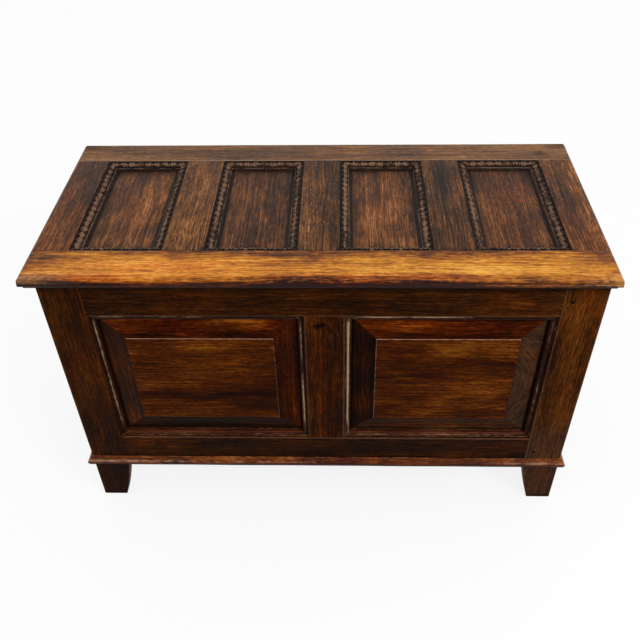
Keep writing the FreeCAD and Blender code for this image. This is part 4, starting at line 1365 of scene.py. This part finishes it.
@dataclass
class FieldedPanel:
    """A raised-and-fielded panel and the bead moulding planted round it."""

    lap: float = 10.0
    tongue: float = 7.0
    bevel_set: float = 14.2
    bevel_width: float = 51.0
    bevel_rise: float = 10.0
    field_rise: float = 12.0
    margin: float = 6.0
    wear: float = 0.5
    section_step: float = 3.0
    step: float = 4.0
    bead_wear: float = 0.45
    bead_step: float = 5.0
    clearance: float = 0.1
    crest_half: float = 3.1
    crest_low: float = 8.0
    bead: Rows = ((0.0, 0.0), (14.0, 0.0), (14.0, 7.0, 5.6, 1), (3.6, 9.5), (3.6, 11.0), (0.0, 11.0))

    @property
    def field_edge(self) -> float:
        """The distance from the opening's edge in to the field's."""
        return self.bevel_set + self.bevel_width

    def blank(self, seat: Seat, seed: int) -> Surface:
        """A new panel: bevels mitred round a flat field, and a plain back.

        Args:
            seat: the panel's seat, as large as the opening.
            seed: picks its timber.

        Returns:
            The closed skin.
        """
        edge, inner = self.field_edge, self.field_edge + self.margin
        section = [(inner, self.field_rise), (edge, self.field_rise), (edge, self.bevel_rise),
                   (self.bevel_set, 0.0), (-self.lap, 0.0), (-self.lap, -self.tongue), (inner, -self.tongue)]
        profile = worn_profile(bent_line(section), self.wear, self.section_step, closed=False, spread=1.0)
        skins = [mitred_ring(profile, seat, seed, self.step, closed=False, uneven=0.0, along_board=False)]
        u, v = np.meshgrid(*(np.linspace(inner, size - inner, max(3, round(size / self.step)) + 1)
                             for size in (seat.width, seat.height)), indexing="ij")
        faces = grid_faces(*u.shape)
        for rise, quads in ((self.field_rise, faces[:, ::-1]), (-self.tongue, faces)):
            h = np.full_like(u, rise)
            grain = np.stack([u, v, h], axis=-1).reshape(-1, 3) + timber(seed + TIMBER_SEED, 5)[-1]
            skins.append(Surface.plain(seat.placed(u, v, h), [quads], grain))
        return Surface.joined(skins)

    def panel(self, seat: Seat, seed: int, look: PanelLook) -> Surface:
        """The panel with painted light and shade by side on its bevels, tone bands on its field, and the
        grain of its end bevels turned upright.

        Args:
            seat: the panel's seat.
            seed: picks its timber.
            look: its painted light and shade, wear and tones, side by side.

        Returns:
            The closed skin.
        """
        whole = self.blank(seat, seed)
        u, v, h, edge, side = seat.measured(whole.points)
        right, top, beside = side == Side.RIGHT, side == Side.TOP, side <= Side.RIGHT
        upright = beside & (edge < self.field_edge - 0.2)
        whole.grain[upright] = whole.grain[upright][:, [1, 0, 2]]
        whole.grain[:, 1] += look.swirl * (v - 0.45 * seat.height)**2 * (upright & right)
        drift = waver(whole.points, seed, 240)
        bevel = ease(edge, self.field_edge + 1, self.field_edge - 2)
        # Painted light and shade by side on the bevels, redder on some, a painted grey sheen where dry,
        # highlights by side on the field's arris, and darker in the quirk beside the field.
        tone, red, dry, arris = (np.array(part)[side] for part in (look.tone, look.red, look.dry, look.arris))
        quirk = bell(edge, self.field_edge - 5, 3.5)
        quirk += 0.9 * top * bell(edge + 5 * drift, self.field_edge - 12, 9)
        head = 0.12 * ease(v, 0.35 * seat.height, 0.75 * seat.height) * right
        ends = 0.12 * ease(np.minimum(u, seat.width - u), 130, 60) * top
        bands = sum(amount * bell(u, across, wide) * bell(v + 9 * drift, up, high)
                    for across, up, wide, high, amount in look.bands)
        bevel_tone = tone + 0.14 * drift + ends + head - 0.16 * quirk
        whole.marks[:, Mark.RUBBED] *= arris
        whole.mark(tone=bevel * bevel_tone + bands * (1 - bevel * beside) + (1 - bevel) * 0.06 * drift)
        # Dirt and painted shade on the margin under the bead.
        return whole.mark(grime=0.95 * ease(edge, 22, 14) * (h > -1),
                          red=bevel * red * (0.7 + 0.5 * drift), dry=bevel * dry)

    def moulding(self, seat: Seat, seed: int, look: PanelLook) -> Surface:
        """The bead moulding, mitred round the panel, with rubbed wear and a painted highlight along its
        crest.

        Args:
            seat: the panel's seat.
            seed: picks its timber.
            look: its painted highlights and shade, side by side.

        Returns:
            The closed skin.
        """
        profile = worn_profile(bent_line(self.bead), self.bead_wear, self.step, spread=1.0)
        seat = seat.trimmed(self.clearance)
        ring = mitred_ring(profile, seat, seed, self.bead_step)
        u, v, h, edge, side = seat.measured(ring.points)
        right, bottom, top = (side == one for one in (Side.RIGHT, Side.BOTTOM, Side.TOP))
        drift = waver(ring.points, seed, 260)
        # A painted highlight along the crest, narrow on the top bead and fading to the right there.
        half = np.where(top, 0.5 * self.crest_half, self.crest_half)
        crest = bell(edge, np.array(look.place)[side], half) * (h > self.crest_low)
        crest *= 1 - 0.8 * ease(u, 190, 330) * top
        upright = np.maximum(ease(seat.height - v, 26, 12), ease(v, 80, 30))
        level = np.maximum(ease(seat.width - u, 60, 25), look.foot * ease(u, 40, 20))
        # Arris highlights by side; painted shade low on the bead, painted light on the bottom bead, and the
        # crest darkened near the corners.
        ring.marks[:, Mark.RUBBED] *= np.array((0.35, 0.35, 0.5, 0.8))[side]
        ring.mark(rubbed=crest * np.array(look.crest)[side] * (1.0 + 0.35 * drift),
                  tone=-0.12 * (h < self.crest_low) + 0.1 * drift + 0.18 * bottom)
        dirt_and_shade = np.where(side <= Side.RIGHT, upright, level)
        return ring.mark(red=0.3 * bottom + 0.25 * right, grime=0.92 * dirt_and_shade * crest)

    def build(self, name: str, seat: Seat, seed: int, look: PanelLook) -> None:
        """Make one panel and its moulding."""
        self.panel(seat, seed, look).make(f"{name}_panel", FIELD_OAK)
        self.moulding(seat, seed + 1, look).make(f"{name}_panel_moulding", BEAD_OAK)


@dataclass
class Carcase:
    """The four frames of the box, with feet, panels and back boards.

    Lid shade is the heights between which the painted shade under the lid sets in, and
    back panel how far a back board's two faces stand in from the back.
    """

    chest: Chest
    fielded: FieldedPanel = field(default_factory=FieldedPanel)
    seat: float = 17.0
    arris: float = 1.3
    rail_arris: float = 0.7
    foot_arris: float = 3.0
    step: float = 5.0
    joint_gap: float = 0.15
    lid_shade: tuple[float, float] = (640.0, 668.0)
    back_panel: tuple[float, float] = (20.0, 11.0)
    back_arris: float = 0.6
    back_step: float = 8.0

    def foot(self, outer: float) -> Shape:
        """A shape that tapers a stile's foot on its inner edge.

        Below the foot's height the width is foot width + rise x slope + a shallow
        swell, and places across scale with it from the outer edge.

        Args:
            outer: where the stile's outer edge stands.

        Returns:
            The shape.
        """
        chest = self.chest

        def taper(places: Array, stations: Array) -> Array:
            """Narrow a section to the foot.

            Args:
                places: section places at each station.
                stations: heights.

            Returns:
                The narrowed section places.
            """
            t = np.clip(stations / chest.foot_height, 0, 1)[:, None]
            swell = 4 * chest.foot_swell * t * (1 - t)
            width = chest.foot_width + (chest.stile_width - chest.foot_width) * t + swell
            return outer + (places.real - outer) * width / chest.stile_width + 1j * places.imag

        return taper

    def stile(self, near: float, far: float, seed: int) -> Surface:
        """A left-hand corner stile with its foot.

        Args:
            near: where its front face stands.
            far: where its back face stands.
            seed: picks its timber.

        Returns:
            The closed skin.
        """
        outer, inner = -self.chest.half_width, -self.chest.opening_edge
        section = bent_line([(outer, near), (inner, near), (inner, far), (outer, far)])
        ends = end_stations(0.0, self.chest.top, self.foot_arris, self.step)
        piece = swept(worn_profile(section, self.arris, self.step), *ends, Run.HEIGHT, seed, self.foot(outer))
        z = piece.points[:, 2]
        foot = 0.35 * ease(z, 140, 120) + 0.4 * ease(z, 20, 0)
        # Darker at the foot, and painted shade under the lid.
        return piece.mark(grime=np.maximum(foot, 0.5 * ease(z, *self.lid_shade)))

    def rail(self, low: Point, high: Point, run: Run, seed: int) -> Surface:
        """A rail between two stiles, grimy at its shoulders, with painted shade under the lid.

        Args:
            low: its lowest corner.
            high: its highest corner.
            run: the way its grain runs.
            seed: picks its timber.

        Returns:
            The closed skin.
        """
        c = run.value[2]
        gap = np.eye(3)[c] * self.joint_gap
        start, end = tuple(np.array(low) + gap), tuple(np.array(high) - gap)
        piece = board(start, end, run, seed, self.rail_arris, self.step)
        place = piece.points[:, c]
        shoulder = np.minimum(place - low[c], high[c] - place)
        # Painted shade under the lid.
        lid_shadow = 0.55 * ease(piece.points[:, 2], *self.lid_shade)
        return piece.mark(grime=np.maximum(0.3 * ease(shoulder, 12, 0), lid_shadow))

    def stiles(self, face: Face, near: float) -> tuple[Surface, Surface]:
        """The two stiles of the front or the back, each aged in its own way.

        Args:
            face: which of the two faces.
            near: where its boards' front stands.

        Returns:
            The left stile and the right one.
        """
        back = self.chest.back
        left = self.stile(near, near + self.chest.thickness, 70 + face.value)
        right = left.mirrored()
        x, _, z = left.points.T
        foot, head, low = ease(z, 200, 110), ease(z, 540, 640), ease(z, 330, 190)
        left.marks[:, Mark.RUBBED] *= np.where(x > -self.chest.opening_edge - 5, 0.15, 0.4)
        left.mark(tone=-0.15 * foot - 0.1 * head - 0.14 * low).mottled(171, 170, 0.1, 0.3)
        right.mark(tone=0.06 - 0.2 * low + 0.1 * foot, dry=0.3 * low).mottled(173, 200, 0.1, 0.35)
        if face is Face.BACK:
            for post in (left, right):
                post.mark(tone=-0.08, dry=0.5 * ease(post.points[:, 1], back - 3, back - 1))
        else:
            left.toned(((-548, near, 320), (14, 60, 120), -0.22), ((-490, near, 610), (30, 60, 60), -0.15))
            right.toned(((530, near, 600), (60, 60, 60), 0.12), ((500, near, 330), (40, 60, 80), -0.12))
        return left, right

    def build_face(self, face: Face, near: float) -> None:
        """Make the stiles, rails and muntin of the front or the back.

        Args:
            face: which of the two faces.
            near: where its boards' front stands.
        """
        chest, front, name, number = self.chest, face is Face.FRONT, face.name.lower(), face.value
        oak = FRAME_OAK if front else BACK_OAK
        far, edge = near + chest.thickness, chest.opening_edge
        for side, stile in zip(("left", "right"), self.stiles(face, near)):
            stile.make(f"{name}_{side}_stile", FRAME_OAK)
        for level, (low, high) in chest.levels.items():
            pick = number + int(low)
            rail = self.rail((-edge, near, low), (edge, far, high), Run.WIDTH, 74 + pick)
            rail.mark(tone=-0.31 if level == "bottom" else -0.07).mottled(180 + pick, 260, 0.09, 0.2)
            if front:
                rail.toned(((-30, near, 620), (230, 60, 80), -0.09),
                             ((460, near, 620), (120, 60, 80), 0.17),
                             ((-120, near, 215), (110, 60, 40), -0.18))
            rail.make(f"{name}_{level}_rail", oak)
        middle, half = chest.muntin_offset if front else 0.0, chest.muntin_half
        start = (middle - half, near, chest.bottom_rail_top)
        end = (middle + half, far, chest.top_rail_low)
        muntin = self.rail(start, end, Run.HEIGHT, 80 + number)
        if front:
            knot = muntin.spot((-8, near, 568), (13, 30, 6)) + muntin.spot((4, near, 573), (9, 30, 4))
            muntin.mark(grime=knot, tone=-0.16, red=0.2).mottled(175, 150, 0.1, 0.7)
            muntin.toned(((12, near, 320), (60, 60, 90), -0.14), ((-10, near, 560), (25, 60, 30), 0.1))
        muntin.make(f"{name}_muntin", oak)

    def build_frames(self) -> None:
        """Make the stiles, rails and muntins of all four sides."""
        chest = self.chest
        start, end = chest.ends
        self.build_face(Face.FRONT, chest.front)
        self.build_face(Face.BACK, end)
        outer = -chest.half_width
        inner = outer + chest.side_thickness
        for level, (low, high) in chest.levels.items():
            rail = self.rail((outer, start, low), (inner, end, high), Run.DEPTH, 90 + int(low))
            rail.make(f"left_{level}_rail", FRAME_OAK)
            rail.mirrored().make(f"right_{level}_rail", FRAME_OAK)

    def build_panels(self) -> None:
        """Make the fielded panels and mouldings of the front and sides, and the plain back."""
        chest, lap = self.chest, self.fielded.lap
        edge, half, shift = chest.opening_edge, chest.muntin_half, chest.muntin_offset
        width, height, low = edge - half, chest.opening_height, chest.bottom_rail_top
        face, flank = chest.front + self.seat, chest.half_width - self.seat
        start, end = chest.ends
        for name, wide, corner, across, seed, look in (
                ("front_left", width + shift, (-edge, face, low), (1, 0, 0), 101, LEFT_LOOK),
                ("front_right", width - shift, (half + shift, face, low), (1, 0, 0), 105, RIGHT_LOOK),
                ("left", end - start, (-flank, end, low), (0, -1, 0), 109, SIDE_LOOK),
                ("right", end - start, (flank, start, low), (0, 1, 0), 113, SIDE_LOOK)):
            self.fielded.build(name, Seat(corner, across, wide, height), seed, look)
        near, far = (chest.back - depth for depth in self.back_panel)
        for seed, side, left in ((117, "left", -edge), (118, "right", half)):
            piece = board((left - lap, near, low - lap), (left + width + lap, far, low + height + lap),
                          Run.WIDTH, seed, self.back_arris, self.back_step)
            piece.make(f"back_{side}_panel", BACK_OAK)

    def build(self) -> None:
        """Make the whole box."""
        self.build_frames()
        self.build_panels()


@dataclass
class BaseMoulding:
    """The moulding round the foot of the box: a cove over a rounded nose and a fillet."""

    chest: Chest
    section: Rows = (
        (0.0, 0.0), (9.5, 0.0), (9.5, 2.5), (8.0, 2.5, 6.2, 1), (8.0, 13.5), (6.5, 13.5, 11.0, -1),
        (1.2, 22.0), (0.0, 22.0))
    height: float = 22.0
    wear: float = 0.8
    section_step: float = 3.0
    step: float = 5.0
    uneven: float = 0.25
    waves: tuple[float, float] = (41.0, 133.0)
    glow_height: float = 12.5

    def run(self, seat: Seat, mitres: tuple[int, int], seed: int) -> Surface:
        """One straight length, mitred outwards at chosen ends.

        A point at a depth d from the face runs from -d x (mitre at the start) to
        length + d x (mitre at the end), so that two lengths meet on the 45 degree line.

        Args:
            seat: the strip of the face that it is planted on.
            mitres: 1 or 0 for a mitre at the start and at the end.
            seed: picks its timber.

        Returns:
            The closed skin.
        """
        profile = worn_profile(bent_line(self.section), self.wear, self.section_step, spread=1.2)
        length = seat.width
        s = np.linspace(0, 1, round(length / self.step))[:, None]
        short, long = (np.sin(s * length / wave + seed) for wave in self.waves)
        push = self.uneven * short * long
        depth = profile.places.real + push * profile.normals.real
        rise = profile.places.imag + push * profile.normals.imag
        start, end = -depth * mitres[0], length + depth * mitres[1]
        along = start + s * (end - start)
        points = seat.placed(along, rise, depth)
        grain = np.stack([along, depth, rise], axis=-1).reshape(-1, 3) + timber(seed)
        rubbed, grime = profile.spread(along.shape)
        faces = [face[:, ::-1] for face in tube_faces(*along.shape)]
        skin = Surface.plain(points, faces, grain, 0.4 * rubbed, grime)
        x, rise, depth = points[:, 0], rise.ravel(), depth.ravel()
        # A painted highlight along the upper roll, dimmer in the middle, and painted shade low on the
        # moulding.
        dim = ease(x, -60, 60) * ease(x, 430, 350)
        worn_and_lit = 0.45 + 0.25 * waver(points, seed, 300) + 0.35 * ease(x, -200, -540)
        glow = bell(rise, self.glow_height, 2.6) * (depth > 3) * worn_and_lit * (1 - 0.7 * dim)
        low = ease(rise, 7, 1)
        tone = 0.08 * waver(points, seed + 1, 180) - 0.3 * low - 0.05 - 0.16 * dim
        return skin.mark(rubbed=glow, tone=tone, red=0.35, grime=0.6 * low)

    def build(self) -> None:
        """Make the front length and both returns."""
        chest = self.chest
        half, low = chest.half_width, chest.foot_height
        front = Seat((-half, chest.front, low), (1, 0, 0), 2 * half, self.height)
        self.run(front, (1, 1), 131).make("base_moulding_front", BASE_OAK)
        side = Seat((-half, chest.back, low), (0, -1, 0), chest.back - chest.front, self.height)
        left = self.run(side, (0, 1), 132)
        left.make("base_moulding_left", BASE_OAK)
        left.mirrored().make("base_moulding_right", BASE_OAK)


@dataclass
class Fittings:
    """The solids that keep their own shape: floor, pegs and hinges."""

    floor_oak: PlainOak = PlainOak("floor_oak", BARE_OAK, (40, 4, 40))
    ledger_oak: PlainOak = PlainOak("ledger_oak", BARE_OAK, (4, 40, 40))
    peg_oak: PlainOak = PlainOak("peg_oak", PEG_OAK, (300, 300, 300), dull=0.45, specular=0.02)
    iron: Iron = Iron()

    def dress(self) -> None:
        """Give each solid its finish by the words in its name."""
        finishes = {"floor_board": self.floor_oak, "ledger": self.ledger_oak, "pegs": self.peg_oak,
                    "hinge": self.iron}
        for name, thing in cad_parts.items():
            for word, finish in finishes.items():
                if word in name:
                    thing.data.materials.clear()
                    thing.data.materials.append(finish.material())
                    LOG.info("%s: %s", name, finish.name)


@dataclass
class Studio:
    """A pale floor, soft light and the camera. The lamp and the floor are in metres."""

    camera_at: Point = (50.64, -1398.66, 1585.55)
    camera_turn: Point = (48.1447, 0.8737, 1.1947)
    lens: float = 42.633
    shift: tuple[float, float] = (-0.00628, 0.01755)
    floor_half: float = 30.0
    floor_dim: float = 0.1
    floor_pale: float = 0.9
    floor_white: float = 0.84
    sky_low: float = 0.05
    sky_high: float = 1.0
    sky_rise: float = 0.55
    lamp_at: Point = (1.7, -2.2, 2.7)
    lamp_aim: Point = (0.0, 0.0, 0.45)
    lamp_size: float = 1.3
    lamp_power: float = 45.0

    def camera(self) -> None:
        """Stand the camera where the photograph was taken from."""
        data = bpy.data.cameras.new("camera")
        data.lens = self.lens
        data.shift_x, data.shift_y = self.shift
        thing = in_scene("camera", data)
        thing.location = [part * MM for part in self.camera_at]
        thing.rotation_euler = [math.radians(part) for part in self.camera_turn]
        bpy.context.scene.camera = thing

    def floor(self) -> None:
        """Lay a wide floor: white with a soft shadow to the eye, dim to the light on the chest."""
        tree = Tree(bpy.data.materials.new("pale_floor"))
        tree.nodes.remove(tree.nodes["Principled BSDF"])
        dim, pale = (tree.add("ShaderNodeBsdfDiffuse", {"Color": (grey, grey, grey, 1)})
                     for grey in (self.floor_dim, self.floor_pale))
        white = tree.add("ShaderNodeEmission", {"Color": WHITE, "Strength": 1.0})
        inputs = {0: self.floor_white, 1: pale.outputs[0], 2: white.outputs[0]}
        tree.shown(dim, tree.add("ShaderNodeMixShader", inputs))
        mesh = bpy.data.meshes.new("floor")
        reach = self.floor_half
        corners = [(-reach, -reach, 0), (reach, -reach, 0), (reach, reach, 0), (-reach, reach, 0)]
        mesh.from_pydata(corners, [], [(0, 1, 2, 3)])
        mesh.materials.append(tree.owner)
        in_scene("floor", mesh)

    def sky(self) -> None:
        """Set a sky that is dim at the horizon and bright overhead, and white to the eye."""
        world = bpy.data.worlds.new("sky")
        bpy.context.scene.world = world
        tree = Tree(world)
        way = tree.add("ShaderNodeTexCoord").outputs["Generated"]
        rise = tree.add("ShaderNodeSeparateXYZ", {0: way}).outputs["Z"]
        glow = tree.nodes["Background"]
        glow.inputs["Color"].default_value = WHITE
        brightness = tree.step(rise, 0.0, self.sky_rise, self.sky_low, self.sky_high)
        tree.links.new(brightness, glow.inputs["Strength"])
        tree.shown(glow, tree.add("ShaderNodeBackground", {"Color": WHITE, "Strength": 1.0}))

    def lamp(self) -> None:
        """Hang one soft lamp that faces the chest's middle."""
        data = bpy.data.lights.new("key", "AREA")
        data.size = self.lamp_size
        data.energy = self.lamp_power
        thing = in_scene("key", data)
        thing.location = self.lamp_at
        thing.rotation_euler = (Vector(self.lamp_aim) - thing.location).to_track_quat("-Z", "Y").to_euler()

    def build(self) -> None:
        """Set up the whole studio."""
        self.camera()
        self.floor()
        self.sky()
        self.lamp()
        bpy.context.scene.view_settings.view_transform = "Standard"


def main() -> None:
    """Build the chest's looks, sub-assembly by sub-assembly."""
    logging.basicConfig(level=logging.INFO, format="%(message)s")
    chest = Chest()
    lid = Lid()
    Carcase(chest).build()
    BaseMoulding(chest).build()
    lid.build()
    LidMoulding(lid).build()
    Fittings().dress()
    Studio().build()


if __name__ == "__main__":
    main()
